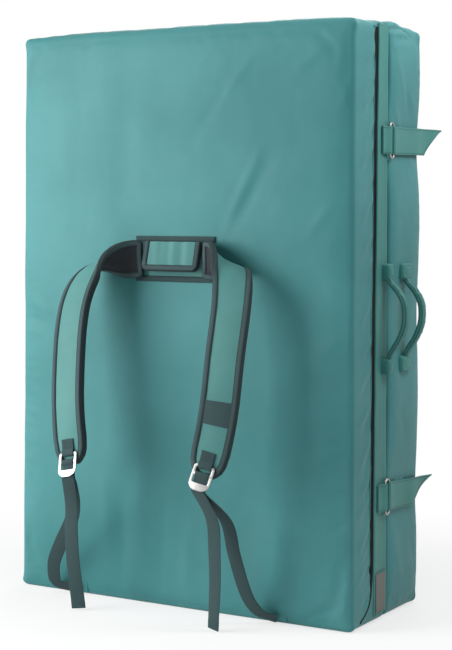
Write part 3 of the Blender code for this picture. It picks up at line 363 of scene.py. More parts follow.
# Closures
UPPER_CLOSURE_HEIGHT = 0.808
LOWER_CLOSURE_HEIGHT = 0.206
UPPER_CLOSURE_CLIMB = 0.020
LOWER_CLOSURE_CLIMB = -0.058
CLOSURE_WIDTH = 0.047
CLOSURE_LEAF = 0.0014
RING_LENGTH = 0.063
RING_WIDTH = 0.019
RING_WIRE = 0.004
RING_CORNER = 0.0070
RING_CLEARANCE = 0.0008
RING_LIFT = 0.0060
LOOP_LENGTH = 0.024
UPPER_RING_FROM_FRONT = 0.1345
LOWER_RING_FROM_FRONT = 0.1215
CLOSURE_ROOT_FROM_RING = 0.042
CLOSURE_ROOT_LENGTH = 0.036
UPPER_TAIL_TIP = 0.219
LOWER_TAIL_TIP = 0.187
CLOSURE_TAIL_SLANT = 0.081
GRIP_TAPE_FROM_BAR = 0.012
GRIP_TAPE_LENGTH = 0.020
GRIP_TAPE_THICKNESS = 0.0016
tail_cut_shares = (
    (0.0, 0.0),
    (0.06, 0.10),
    (0.12, 0.19),
    (0.30, 0.42),
    (0.55, 0.68),
    (0.80, 0.87),
    (0.97, 0.96),
)

# Sewing
STITCH_PITCH = 0.0042
STITCH_LENGTH = 0.0030
THREAD_RADIUS = 0.00035
STITCH_INSET = 0.0028

# Camera, as the photograph was taken
IMAGE_HEIGHT = 650
SENSOR = 36.0
FOCAL_PIXELS = 1586.0
HORIZON_ROW = 217.0
CAMERA_PLACE = (1.465, -2.389, 0.677)
CAMERA_AIM = (-0.5075, 0.8616, 0.0)
CAMERA_ROLL = 0.25
CLIP_NEAR = 0.05
CLIP_FAR = 60.0

# Lamps: (name, place, aim, size, watts)
softboxes = (
    ("key_softbox", (-1.4, -1.4, 0.95), (-0.1, 0.0, 0.5), (1.3, 1.5), 55.0),
    ("side_softbox", (0.98, 0.10, 1.45), (0.32, 0.0, 0.78), (0.5, 0.5), 9.5),
    ("top_softbox", (0.2, -0.6, 3.4), (0.0, 0.0, 0.6), (2.2, 2.2), 22.0),
    ("back_softbox", (-1.2, 3.2, 1.8), (0.0, 0.2, 0.5), (1.8, 2.0), 34.0),
)
FLOOR_REACH = 14.0
FLOOR_WHITE = 0.86
FLOOR_ROUGHNESS = 0.9
# How far from the origin the floor turns plain white, and the share of white at the near distance
FLOOR_FADE_FROM = 0.35
FLOOR_FADE_TO = 1.1
FLOOR_WHITE_SHARE = 0.66
SKY_AMBIENT = 0.25


# Mesh tools


def follow(shares, at):
    """Reads a table of (place, value) rows between its rows."""
    return np.interp(at, [row[0] for row in shares], [row[1] for row in shares])


def unit(vector):
    return vector / np.linalg.norm(vector)


def run_lengths(points):
    """How far down a row of points each one lies."""
    return np.concatenate([[0], np.cumsum(np.linalg.norm(np.diff(points, axis=0), axis=1))])


def directions(places):
    """The way that a row of places runs at each of them."""
    places = np.array(places, float)
    last = len(places) - 1
    return [unit(places[min(k + 1, last)] - places[max(k - 1, 0)]) for k in range(len(places))]


def smooth_path(points, count):
    """A smooth curve through given points, read at even steps along its length."""
    points = np.array(points, float)
    padded = np.vstack([2 * points[0] - points[1], points, 2 * points[-1] - points[-2]])
    fine = []
    for k in range(1, len(padded) - 2):
        before, here, there, after = padded[k - 1 : k + 3]
        for t in np.linspace(0, 1, 12, endpoint=False):
            slope = (there - before) * t
            bend = (2 * before - 5 * here + 4 * there - after) * t**2
            twist = (3 * here - before - 3 * there + after) * t**3
            fine.append(0.5 * (2 * here + slope + bend + twist))
    fine.append(points[-1])
    fine = np.array(fine)
    run = run_lengths(fine)
    at = np.linspace(0, run[-1], count)
    return np.column_stack([np.interp(at, run, fine[:, axis]) for axis in range(fine.shape[1])])


def refined(points, passes=2):
    """The same row of points with its corners rounded off and its ends kept."""
    points = np.array(points, float)
    for _ in range(passes):
        near = 0.75 * points[:-1] + 0.25 * points[1:]
        far = 0.25 * points[:-1] + 0.75 * points[1:]
        middle = np.empty((2 * len(near), points.shape[1]))
        middle[0::2] = near
        middle[1::2] = far
        points = np.vstack([points[:1], middle, points[-1:]])
    return points


def loft(loops, closed=False, capped=True):
    """A skin through loops of equal count."""
    count = len(loops[0])
    points = [tuple(p) for loop in loops for p in loop]
    faces = []
    rows = len(loops) if closed else len(loops) - 1
    for row in range(rows):
        here = row * count
        there = (row + 1) % len(loops) * count
        for k in range(count):
            after = (k + 1) % count
            faces.append((here + k, here + after, there + after, there + k))
    if capped and not closed:
        last = (len(loops) - 1) * count
        faces.append(tuple(range(count)))
        faces.append(tuple(range(last + count - 1, last - 1, -1)))
    return points, faces


def mirrored(points, side):
    return [(side * x, y, z) for x, y, z in points]


def add_piece(name, points, faces, look, sharp=50):
    """A closed mesh of its own, facing out, smooth but for its hard corners."""
    mesh = bpy.data.meshes.new(name)
    mesh.from_pydata([tuple(float(c) for c in p) for p in points], [], faces)
    mesh.validate()
    work = bmesh.new()
    work.from_mesh(mesh)
    bmesh.ops.recalc_face_normals(work, faces=work.faces)
    if work.calc_volume(signed=True) < 0:
        bmesh.ops.reverse_faces(work, faces=work.faces)
    work.to_mesh(mesh)
    work.free()
    piece = bpy.data.objects.new(name, mesh)
    bpy.context.scene.collection.objects.link(piece)
    mesh.materials.append(look)
    mesh.shade_smooth()
    mesh.set_sharp_from_angle(angle=math.radians(sharp))
    return piece


def seat(piece, body, slot, *nodes):
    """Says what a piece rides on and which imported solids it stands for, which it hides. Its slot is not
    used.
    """
    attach(piece, body)
    if nodes:
        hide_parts(*nodes)
    return piece


def keep_result(piece):
    """Fixes what a piece's modifiers make into its mesh."""
    graph = bpy.context.evaluated_depsgraph_get()
    made = bpy.data.meshes.new_from_object(piece.evaluated_get(graph), depsgraph=graph)
    piece.modifiers.clear()
    old = piece.data
    piece.data = made
    made.name = piece.name
    bpy.data.meshes.remove(old)
    return piece


def smoothed_once(piece):
    """One subdivision, fixed into the mesh."""
    modifier = piece.modifiers.new("finer", "SUBSURF")
    modifier.levels = 1
    modifier.render_levels = 1
    return keep_result(piece)


def read_points(piece):
    found = np.empty(len(piece.data.vertices) * 3)
    piece.data.vertices.foreach_get("co", found)
    return found.reshape(-1, 3)


def read_normals(piece):
    found = np.empty(len(piece.data.vertices) * 3)
    piece.data.vertices.foreach_get("normal", found)
    return found.reshape(-1, 3)


def write_points(piece, points):
    piece.data.vertices.foreach_set("co", np.ascontiguousarray(points).reshape(-1))
    piece.data.update()


def mark_run(piece, along, across):
    """Keeps how far each point is down the webbing and across it, for the weave in the material."""
    for name, values in (("along", along), ("across", across)):
        attribute = piece.data.attributes.new(name, "FLOAT", "POINT")
        attribute.data.foreach_set("value", np.array(values, np.float32))


def mark_shade(piece, shares):
    """Keeps how much painted shade each point takes, from nothing to one, in folds, crevices and seam
    grooves, for the cloth's colour.
    """
    marks = piece.data.attributes.new("shade", "FLOAT", "POINT")
    marks.data.foreach_set("value", np.asarray(shares, dtype=np.float32))


# Shader tools

# The share of the deeper colour that is left in the painted shade of a fold or hollow
FOLD_SHADOW = 0.16
# How wide a binding's dark rim is: painted shade where the tape rounds over its edges
RIM_SHADE_WIDTH = 0.0016
# How much of the painted shade in hollows and of the rubbed streaks shows
HOLLOW_SHADE_SHARE = 0.75
RUB_SHARE = 0.15
# How high the weave, ribs, pits and cells stand
WEAVE_RELIEF = 0.00012
RIB_RELIEF = 0.0003
PIT_RELIEF = 0.00015
CELL_RELIEF = 0.0006
# The grain's middle range, which the roughness follows
GRAIN_LOW = 0.3
GRAIN_HIGH = 0.7


def new_material(name):
    made = bpy.data.materials.new(name)
    made.use_nodes = True
    tree = made.node_tree
    return made, tree, tree.nodes["Principled BSDF"]


def new_group(name, inputs, outputs):
    """A shader node group with named sockets: (kind, name, default) rows in, (kind, name) rows out."""
    tree = bpy.data.node_groups.new(name, "ShaderNodeTree")
    for kind, label, default in inputs:
        socket = tree.interface.new_socket(label, in_out="INPUT", socket_type="NodeSocket" + kind)
        if default is not None:
            socket.default_value = default
    for kind, label in outputs:
        tree.interface.new_socket(label, in_out="OUTPUT", socket_type="NodeSocket" + kind)
    return tree, tree.nodes.new("NodeGroupInput"), tree.nodes.new("NodeGroupOutput")


def feed(tree, socket, value):
    """Links a socket to another one, or sets it to a number or colour."""
    if isinstance(value, bpy.types.NodeSocket):
        tree.links.new(value, socket)
    elif value is not None:
        socket.default_value = value


def point_mark(tree, name):
    """The node that reads a mark kept on a piece's points."""
    marks = tree.nodes.new("ShaderNodeAttribute")
    marks.attribute_name = name
    return marks


def maths(tree, operation, one, two=None):
    node = tree.nodes.new("ShaderNodeMath")
    node.operation = operation
    feed(tree, node.inputs[0], one)
    feed(tree, node.inputs[1], two)
    return node.outputs[0]


def ramp(tree, value, low, high, to_low=0.0, to_high=1.0):
    node = tree.nodes.new("ShaderNodeMapRange")
    node.interpolation_type = "SMOOTHSTEP"
    feed(tree, node.inputs["Value"], value)
    feed(tree, node.inputs["From Min"], low)
    feed(tree, node.inputs["From Max"], high)
    feed(tree, node.inputs["To Min"], to_low)
    feed(tree, node.inputs["To Max"], to_high)
    return node.outputs["Result"]


def mix_colour(tree, share, one, two):
    node = tree.nodes.new("ShaderNodeMix")
    node.data_type = "RGBA"
    feed(tree, node.inputs["Factor"], share)
    feed(tree, node.inputs["A"], one)
    feed(tree, node.inputs["B"], two)
    return node.outputs["Result"]


def noise_value(tree, place, scale, detail=3.0, stretch=None):
    if stretch is not None:
        mapping = tree.nodes.new("ShaderNodeMapping")
        mapping.inputs["Scale"].default_value = stretch
        feed(tree, mapping.inputs["Vector"], place)
        place = mapping.outputs["Vector"]
    node = tree.nodes.new("ShaderNodeTexNoise")
    feed(tree, node.inputs["Vector"], place)
    feed(tree, node.inputs["Scale"], scale)
    feed(tree, node.inputs["Detail"], detail)
    return node.outputs["Fac"]


def object_place(tree):
    return tree.nodes.new("ShaderNodeTexCoord").outputs["Object"]


def use_group(tree, group, **values):
    node = tree.nodes.new("ShaderNodeGroup")
    node.node_tree = group
    for label, value in values.items():
        feed(tree, node.inputs[label.replace("_", " ")], value)
    return node


def bump(tree, shader, height, strength, distance):
    node = tree.nodes.new("ShaderNodeBump")
    node.inputs["Strength"].default_value = strength
    node.inputs["Distance"].default_value = distance
    feed(tree, node.inputs["Height"], height)
    feed(tree, shader.inputs["Normal"], node.outputs["Normal"])


def make_weave_group():
    """Threads over and under, on whichever way the cloth faces."""
    inputs = (("Vector", "Place", None), ("Float", "Threads per metre", 1400.0))
    tree, into, out = new_group("cloth_weave", inputs, (("Float", "Height"),))
    scaled = tree.nodes.new("ShaderNodeVectorMath")
    scaled.operation = "SCALE"
    feed(tree, scaled.inputs[0], into.outputs["Place"])
    feed(tree, scaled.inputs["Scale"], into.outputs["Threads per metre"])
    axes = tree.nodes.new("ShaderNodeSeparateXYZ")
    feed(tree, axes.inputs[0], scaled.outputs[0])
    waves = [maths(tree, "SINE", maths(tree, "MULTIPLY", axes.outputs[k], math.pi)) for k in range(3)]
    facing = tree.nodes.new("ShaderNodeSeparateXYZ")
    geometry = tree.nodes.new("ShaderNodeNewGeometry")
    feed(tree, facing.inputs[0], geometry.outputs["Normal"])
    total = None
    for axis in range(3):
        one = waves[(axis + 1) % 3]
        two = waves[(axis + 2) % 3]
        crossed = maths(tree, "MULTIPLY", one, two)
        weighed = maths(tree, "MULTIPLY", crossed, maths(tree, "ABSOLUTE", facing.outputs[axis]))
        total = weighed if total is None else maths(tree, "ADD", total, weighed)
    feed(tree, out.inputs["Height"], ramp(tree, total, -1.0, 1.0))
    return tree


def make_tone_group():
    """Slow drift of colour over the cloth, with faint streaks where it has been rubbed."""
    inputs = (("Vector", "Place", None), ("Float", "Patch scale", 5.0), ("Float", "Streak scale", 9.0))
    outputs = (("Float", "Drift"), ("Float", "Streaks"), ("Float", "Grain"))
    tree, into, out = new_group("cloth_tone", inputs, outputs)
    place = into.outputs["Place"]
    drift = noise_value(tree, place, into.outputs["Patch scale"], 4.0)
    feed(tree, out.inputs["Drift"], ramp(tree, drift, 0.32, 0.68))
    streaks = noise_value(tree, place, into.outputs["Streak scale"], 8.0, (1.0, 1.0, 0.28))
    feed(tree, out.inputs["Streaks"], ramp(tree, streaks, 0.56, 0.78))
    feed(tree, out.inputs["Grain"], noise_value(tree, place, 420.0, 2.0))
    return tree


def make_edge_group():
    """Where the cloth bends sharply outward, as at a worn fold or corner, and where it is hollow, which takes
    painted shade.
    """
    inputs = (("Float", "Sharpness", 0.56),)
    tree, into, out = new_group("edge_wear", inputs, (("Float", "Wear"), ("Float", "Hollow")))
    geometry = tree.nodes.new("ShaderNodeNewGeometry")
    high = maths(tree, "ADD", into.outputs["Sharpness"], 0.10)
    sharp = geometry.outputs["Pointiness"]
    feed(tree, out.inputs["Wear"], ramp(tree, sharp, into.outputs["Sharpness"], high))
    # Hollow is one where the cloth curves inward, for the painted shade there
    feed(tree, out.inputs["Hollow"], ramp(tree, sharp, 0.485, 0.40))
    return tree


def make_webbing_group():
    """Cross ribs and a herringbone down the length, from how far each point is along and across the tape."""
    inputs = (("Float", "Rib pitch", 0.0011), ("Float", "Row pitch", 0.0026))
    tree, into, out = new_group("webbing_ribs", inputs, (("Float", "Height"), ("Float", "Rows")))
    along = point_mark(tree, "along")
    across = point_mark(tree, "across")
    spots = maths(tree, "DIVIDE", across.outputs["Fac"], into.outputs["Row pitch"])
    rows = maths(tree, "PINGPONG", spots, 1.0)
    slant = maths(tree, "MULTIPLY", rows, 0.7)
    ribs_run = maths(tree, "DIVIDE", along.outputs["Fac"], into.outputs["Rib pitch"])
    turns = maths(tree, "ADD", ribs_run, slant)
    ribs = maths(tree, "SINE", maths(tree, "MULTIPLY", turns, 2 * math.pi))
    feed(tree, out.inputs["Height"], ramp(tree, ribs, -1.0, 1.0))
    feed(tree, out.inputs["Rows"], rows)
    return tree


weave_group = make_weave_group()
tone_group = make_tone_group()
edge_group = make_edge_group()
webbing_group = make_webbing_group()


def cloth_material(name, deep, pale, rubbed, roughness, threads, rise, sheen=0.08, edges=0.22):
    """Woven cloth with a matte coat: drifting tone, rubbed streaks, paler worn folds, painted shade in its
    hollows and marked folds, and a fine weave.
    """
    made, tree, shader = new_material(name)
    place = object_place(tree)
    tone = use_group(tree, tone_group, Place=place)
    wear_and_shade = use_group(tree, edge_group)
    weave = use_group(tree, weave_group, Place=place, Threads_per_metre=threads)
    colour = mix_colour(tree, tone.outputs["Drift"], (*deep, 1), (*pale, 1))
    rub = maths(tree, "MULTIPLY", tone.outputs["Streaks"], RUB_SHARE)
    worn = maths(tree, "MULTIPLY", wear_and_shade.outputs["Wear"], edges)
    colour = mix_colour(tree, maths(tree, "MAXIMUM", rub, worn), colour, (*rubbed, 1))
    # Painted shade: hollows, and points marked as shaded, darken towards this shadow colour
    shadow = tuple(c * FOLD_SHADOW for c in deep)
    marks = point_mark(tree, "shade")
    hollow_shade = maths(tree, "MULTIPLY", wear_and_shade.outputs["Hollow"], HOLLOW_SHADE_SHARE)
    folded = maths(tree, "MAXIMUM", hollow_shade, marks.outputs["Fac"])
    colour = mix_colour(tree, folded, colour, (*shadow, 1))
    feed(tree, shader.inputs["Base Color"], colour)
    shine = ramp(tree, tone.outputs["Grain"], GRAIN_LOW, GRAIN_HIGH, roughness - 0.05, roughness + 0.07)
    feed(tree, shader.inputs["Roughness"], shine)
    shader.inputs["Sheen Weight"].default_value = sheen
    shader.inputs["Sheen Roughness"].default_value = 0.45
    shader.inputs["Specular IOR Level"].default_value = 0.22
    grain = maths(tree, "MULTIPLY", tone.outputs["Grain"], 0.5)
    bump(tree, shader, maths(tree, "ADD", weave.outputs["Height"], grain), rise, WEAVE_RELIEF)
    return made


def webbing_material(name, deep, pale, roughness=0.72, ridge=None):
    """Ribbed tape: dark rows between paler ribs. A ridge is a paler middle between two rims darkened with
    painted shade, where the tape rounds over.
    """
    made, tree, shader = new_material(name)
    tone = use_group(tree, tone_group, Place=object_place(tree))
    wear_and_shade = use_group(tree, edge_group)
    ribs = use_group(tree, webbing_group)
    shade = maths(tree, "MULTIPLY", ribs.outputs["Height"], 0.45)
    drift = maths(tree, "MULTIPLY", tone.outputs["Drift"], 0.45)
    colour = mix_colour(tree, maths(tree, "ADD", shade, drift), (*deep, 1), (*pale, 1))
    dust = tuple(min(1.0, c * 1.6) for c in pale)
    colour = mix_colour(tree, maths(tree, "MULTIPLY", wear_and_shade.outputs["Wear"], 0.3), colour, (*dust, 1))
    if ridge is not None:
        place = point_mark(tree, "across").outputs["Fac"]
        low = ramp(tree, place, ridge[0] - RIM_SHADE_WIDTH / 2, ridge[0] + RIM_SHADE_WIDTH / 2)
        high = ramp(tree, place, ridge[1] - RIM_SHADE_WIDTH / 2, ridge[1] + RIM_SHADE_WIDTH / 2, 1.0, 0.0)
        # The dark rims are painted shade, where the rounded tape turns away from the light
        rim = tuple(c * 0.5 for c in deep)
        colour = mix_colour(tree, maths(tree, "MULTIPLY", low, high), (*rim, 1), colour)
    feed(tree, shader.inputs["Base Color"], colour)
    shine = ramp(tree, tone.outputs["Grain"], GRAIN_LOW, GRAIN_HIGH, roughness, roughness + 0.1)
    feed(tree, shader.inputs["Roughness"], shine)
    shader.inputs["Sheen Weight"].default_value = 0.03
    shader.inputs["Specular IOR Level"].default_value = 0.3
    bump(tree, shader, ribs.outputs["Height"], 0.6, RIB_RELIEF)
    return made


def metal_material(name):
    """Pale cast alloy with a fine pitted skin, brighter where it has rubbed."""
    made, tree, shader = new_material(name)
    place = object_place(tree)
    tone = use_group(tree, tone_group, Place=place, Patch_scale=60.0, Streak_scale=160.0)
    wear_and_shade = use_group(tree, edge_group, Sharpness=0.53)
    colour = mix_colour(tree, tone.outputs["Drift"], (0.27, 0.27, 0.265, 1), (0.36, 0.36, 0.35, 1))
    rubbed = maths(tree, "MULTIPLY", wear_and_shade.outputs["Wear"], 0.5)
    colour = mix_colour(tree, rubbed, colour, (0.56, 0.56, 0.55, 1))
    feed(tree, shader.inputs["Base Color"], colour)
    shader.inputs["Metallic"].default_value = 1.0
    shine = ramp(tree, tone.outputs["Grain"], GRAIN_LOW, GRAIN_HIGH, 0.34, 0.50)
    feed(tree, shader.inputs["Roughness"], shine)
    bump(tree, shader, tone.outputs["Grain"], 0.25, PIT_RELIEF)
    return made


def foam_material(name, deep, pale, cell_scale):
    """Cut foam: fine open cells, a little yellowed in patches."""
    made, tree, shader = new_material(name)
    place = object_place(tree)
    tone = use_group(tree, tone_group, Place=place)
    cells = tree.nodes.new("ShaderNodeTexVoronoi")
    cells.inputs["Scale"].default_value = cell_scale
    feed(tree, cells.inputs["Vector"], place)
    holes = ramp(tree, cells.outputs["Distance"], 0.1, 0.6)
    colour = mix_colour(tree, tone.outputs["Drift"], (*deep, 1), (*pale, 1))
    shadow = tuple(c * 0.55 for c in deep)
    colour = mix_colour(tree, holes, (*shadow, 1), colour)
    feed(tree, shader.inputs["Base Color"], colour)
    feed(tree, shader.inputs["Roughness"], ramp(tree, holes, 0.0, 1.0, 0.98, 0.88))
    bump(tree, shader, holes, 0.5, CELL_RELIEF)
    return made


coated_fabric = cloth_material(
    "coated_teal_fabric", (0.038, 0.182, 0.187), (0.053, 0.218, 0.224), (0.13, 0.30, 0.29), 0.52, 1500.0, 0.30
)
flap_fabric = cloth_material(
    "folded_teal_fabric", (0.038, 0.176, 0.163), (0.052, 0.210, 0.194), (0.13, 0.30, 0.28), 0.54, 1500.0, 0.35
)
strap_fabric = cloth_material(
    "padded_strap_fabric", (0.053, 0.186, 0.178), (0.070, 0.217, 0.207), (0.15, 0.31, 0.29), 0.60, 900.0, 0.5
)
lining_mesh = cloth_material(
    "charcoal_lining_mesh", (0.018, 0.021, 0.026), (0.032, 0.036, 0.043), (0.07, 0.07, 0.08),
    0.88, 420.0, 0.9, sheen=0.02,
)
slate_webbing = webbing_material("slate_webbing", (0.016, 0.040, 0.044), (0.036, 0.074, 0.078))
teal_webbing = cloth_material(
    "teal_strap_webbing", (0.048, 0.190, 0.176), (0.066, 0.226, 0.210), (0.14, 0.30, 0.28), 0.62, 1100.0, 0.6
)
slate_binding = webbing_material(
    "slate_edge_binding", (0.020, 0.044, 0.049), (0.052, 0.092, 0.099), 0.68,
    (RIM_SHADE_WIDTH, BINDING_WIDTH - RIM_SHADE_WIDTH),
)
cast_metal = metal_material("pale_cast_metal")
grip_tape = cloth_material(
    "black_grip_tape", (0.003, 0.0035, 0.004), (0.006, 0.007, 0.008), (0.015, 0.015, 0.015),
    0.95, 700.0, 1.0, sheen=0.0, edges=0.05,
)
bare_label = cloth_material(
    "bare_woven_label", (0.125, 0.135, 0.122), (0.165, 0.170, 0.155), (0.22, 0.22, 0.20), 0.75, 1200.0, 0.6
)
dark_thread = cloth_material(
    "slate_thread", (0.012, 0.036, 0.038), (0.024, 0.055, 0.057), (0.06, 0.10, 0.10), 0.7, 3000.0, 0.4
)
teal_thread = cloth_material(
    "teal_thread", (0.075, 0.235, 0.225), (0.100, 0.275, 0.262), (0.18, 0.34, 0.32), 0.6, 3000.0, 0.4
)
firm_foam = foam_material("firm_foam", (0.19, 0.20, 0.21), (0.24, 0.25, 0.26), 700.0)
core_foam = foam_material("core_foam", (0.66, 0.60, 0.42), (0.76, 0.71, 0.54), 500.0)
base_foam = foam_material("base_foam", (0.20, 0.21, 0.22), (0.26, 0.27, 0.28), 800.0)


# Camera, light and floor


def make_camera():
    camera = bpy.data.cameras.new("photo_camera")
    camera.sensor_fit = "VERTICAL"
    camera.sensor_height = SENSOR
    camera.sensor_width = SENSOR
    camera.lens = FOCAL_PIXELS / IMAGE_HEIGHT * SENSOR
    camera.shift_y = (HORIZON_ROW - IMAGE_HEIGHT / 2) / IMAGE_HEIGHT
    camera.clip_start = CLIP_NEAR
    camera.clip_end = CLIP_FAR
    holder = bpy.data.objects.new("photo_camera", camera)
    bpy.context.scene.collection.objects.link(holder)
    holder.location = CAMERA_PLACE
    holder.rotation_mode = "QUATERNION"
    level = Vector(CAMERA_AIM).to_track_quat("-Z", "Y")
    holder.rotation_quaternion = level @ Quaternion((0, 0, 1), math.radians(CAMERA_ROLL))
    bpy.context.scene.camera = holder


def add_softbox(name, place, aim, size, watts):
    lamp = bpy.data.lights.new(name, "AREA")
    lamp.shape = "RECTANGLE"
    lamp.size, lamp.size_y = size
    lamp.energy = watts
    holder = bpy.data.objects.new(name, lamp)
    bpy.context.scene.collection.objects.link(holder)
    holder.location = place
    away = Vector(place) - Vector(aim)
    holder.rotation_mode = "QUATERNION"
    holder.rotation_quaternion = away.to_track_quat("Z", "Y")


def seen_directly(tree):
    """One for rays from the camera, and for what metal and glass show."""
    path = tree.nodes.new("ShaderNodeLightPath")
    seen = maths(tree, "MAXIMUM", path.outputs["Is Camera Ray"], path.outputs["Is Glossy Ray"])
    return maths(tree, "MAXIMUM", seen, path.outputs["Is Transmission Ray"])


def make_stage():
    """A white floor that takes a soft shadow, under a plain pale sky."""
    corners = [(x * FLOOR_REACH, y * FLOOR_REACH, 0.0) for x, y in ((-1, -1), (1, -1), (1, 1), (-1, 1))]
    mesh = bpy.data.meshes.new("studio_floor")
    mesh.from_pydata(corners, [], [(0, 1, 2, 3)])
    floor = bpy.data.objects.new("studio_floor", mesh)
    bpy.context.scene.collection.objects.link(floor)
    made, tree, shader = new_material("studio_floor")
    shader.inputs["Base Color"].default_value = (FLOOR_WHITE, FLOOR_WHITE, FLOOR_WHITE, 1)
    shader.inputs["Roughness"].default_value = FLOOR_ROUGHNESS
    shader.inputs["Specular IOR Level"].default_value = 0.0
    white = tree.nodes.new("ShaderNodeEmission")
    white.inputs["Strength"].default_value = 1.0
    mixed = tree.nodes.new("ShaderNodeMixShader")
    away = tree.nodes.new("ShaderNodeVectorMath")
    away.operation = "LENGTH"
    feed(tree, away.inputs[0], object_place(tree))
    lit = ramp(tree, away.outputs["Value"], FLOOR_FADE_FROM, FLOOR_FADE_TO, FLOOR_WHITE_SHARE, 1.0)
    feed(tree, mixed.inputs[0], maths(tree, "MULTIPLY", seen_directly(tree), lit))
    feed(tree, mixed.inputs[1], shader.outputs[0])
    feed(tree, mixed.inputs[2], white.outputs[0])
    feed(tree, tree.nodes["Material Output"].inputs["Surface"], mixed.outputs[0])
    mesh.materials.append(made)

    world = bpy.data.worlds.new("studio_sky")
    bpy.context.scene.world = world
    world.use_nodes = True
    tree = world.node_tree
    sky = tree.nodes["Background"]
    sky.inputs["Color"].default_value = (1, 1, 1, 1)
    feed(tree, sky.inputs["Strength"], ramp(tree, seen_directly(tree), 0.0, 1.0, SKY_AMBIENT, 1.0))


make_camera()
make_stage()
for softbox in softboxes:
    add_softbox(*softbox)
bpy.context.scene.view_settings.view_transform = "Standard"


# Padded halves


def half_y(half, depth):
    """Depth counts from the landing side to the outer face."""
    if half == "front":
        return INTERFACE_Y - HALVES_GAP / 2 - depth
    return INTERFACE_Y + HALVES_GAP / 2 + depth


def grid_lines(low, high, low_radius, high_radius, step, extra=()):
    inner_low = low + low_radius
    inner_high = high - high_radius
    count = max(int(round((inner_high - inner_low) / step)), 1)
    found = list(np.linspace(inner_low, inner_high, count + 1))
    if extra:
        clear = step / 2
        found = [v for v in found if all(abs(v - own) > clear for own in extra)] + list(extra)
    found += [inner_low - share * low_radius for share in edge_step_shares]
    found += [inner_high + share * high_radius for share in edge_step_shares]
    return np.array(sorted(found))


def box_skin(lines):
    """A closed box whose faces are divided at the given lines."""
    ends = [len(line) - 1 for line in lines]
    index = {}
    points = []
    faces = []

    def corner(key):
        if key not in index:
            index[key] = len(points)
            points.append([lines[axis][key[axis]] for axis in range(3)])
        return index[key]

    for axis in range(3):
        one = (axis + 1) % 3
        two = (axis + 2) % 3
        for end in (0, ends[axis]):
            for i in range(ends[one]):
                for j in range(ends[two]):
                    quad = []
                    for di, dj in ((0, 0), (1, 0), (1, 1), (0, 1)):
                        key = [0, 0, 0]
                        key[axis] = end
                        key[one] = i + di
                        key[two] = j + dj
                        quad.append(corner(tuple(key)))
                    faces.append(quad if end else quad[::-1])
    return np.array(points), faces


def rounded_box(points, low, high, low_radii, high_radii):
    """Rounds the edges of a box skin: radii are given for each axis at each end."""
    low = np.array(low)
    high = np.array(high)
    low_radii = np.array(low_radii)
    high_radii = np.array(high_radii)
    inner = np.clip(points, low + low_radii, high - high_radii)
    away = points - inner
    radii = np.where(away < 0, low_radii, high_radii)
    share = away / radii
    length = np.linalg.norm(share, axis=1)
    length[length == 0] = 1.0
    return inner + radii * share / length[:, None]


def slot_middle(z):
    """How far from the front the open slot runs: it leans forward towards its foot."""
    return SLOT_FOOT_MIDDLE + (SLOT_TOP_MIDDLE - SLOT_FOOT_MIDDLE) * z


def slot_path():
    """Middle line of the foam slot in depth and height: straight down, then curving forward at its foot."""
    depth = HALF_THICKNESS - SLOT_FROM_FRONT - SLOT_WIDTH / 2
    top = PAD_HEIGHT - SLOT_TOP_MARGIN
    bend = SLOT_FOOT + SLOT_WIDTH
    path = [(depth, top), (depth, bend + SLOT_HOOK / 2)]
    steps = 6
    for step in range(1, steps + 1):
        angle = step / steps * math.pi / 2
        deeper = depth + SLOT_HOOK / 2 * (1 - math.cos(angle))
        path.append((deeper, bend + SLOT_HOOK / 2 * (1 - math.sin(angle))))
    path.append((depth + SLOT_HOOK, bend))
    return path


def bell(values):
    return np.exp(-(values**2))


def held_share(z):
    """One where a closure pulls the open side in, falling to nothing away from it."""
    held = bell((z - UPPER_CLOSURE_HEIGHT) / CLOSURE_HOLD) + bell((z - LOWER_CLOSURE_HEIGHT) / CLOSURE_HOLD)
    return np.minimum(held, 1.0)


def side_wall_x(z, half="front"):
    """How far out the open side stands: a little slack in its height, swollen where no closure holds it."""
    up = np.minimum(np.abs(2 * z / PAD_HEIGHT - 1), 1.0)
    free = 1 - held_share(z)
    own = wall_swell[half] * (1 - up**8) + wall_lean[half] * (2 * z / PAD_HEIGHT - 1)
    own = own * (1 - HANDLE_HOLD_SHARE * bell((z - HANDLE_HEIGHT) / HANDLE_HOLD))
    return WALL_X - SIDE_DRAW * (1 - up**2) + own * free


def closed_wall_x(z):
    """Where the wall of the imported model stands: the closed side, and what turns at the model's places."""
    up = np.minimum(np.abs(2 * z / PAD_HEIGHT - 1), 1.0)
    return WALL_X - SIDE_DRAW * (1 - up**2)


def press_creases(points, normals, creases):
    """Soft ridges and valleys in the cloth, each from one point to another: (start, end, width, rise)."""
    moved = np.zeros(len(points))
    for start, end, width, rise in creases:
        start = np.array(start)
        run = np.array(end) - start
        share = (points - start) @ run / (run @ run)
        inside = np.clip(share, 0, 1)
        away = np.linalg.norm(points - start - inside[:, None] * run, axis=1)
        taper = np.sin(np.clip(share, 0.02, 0.98) * math.pi) ** 0.7
        moved += rise * bell(away / width) * taper
    return points + normals * moved[:, None]


def wander(points, scale, seed, depth=2):
    """Smooth noise at each point, from about minus one to one."""
    found = np.empty(len(points))
    shift = Vector((seed * 7.31, seed * 3.77, seed * 5.13))
    for k, point in enumerate(points):
        found[k] = noise.fractal(Vector(point) * scale + shift, 1.0, 2.0, depth)
    return found


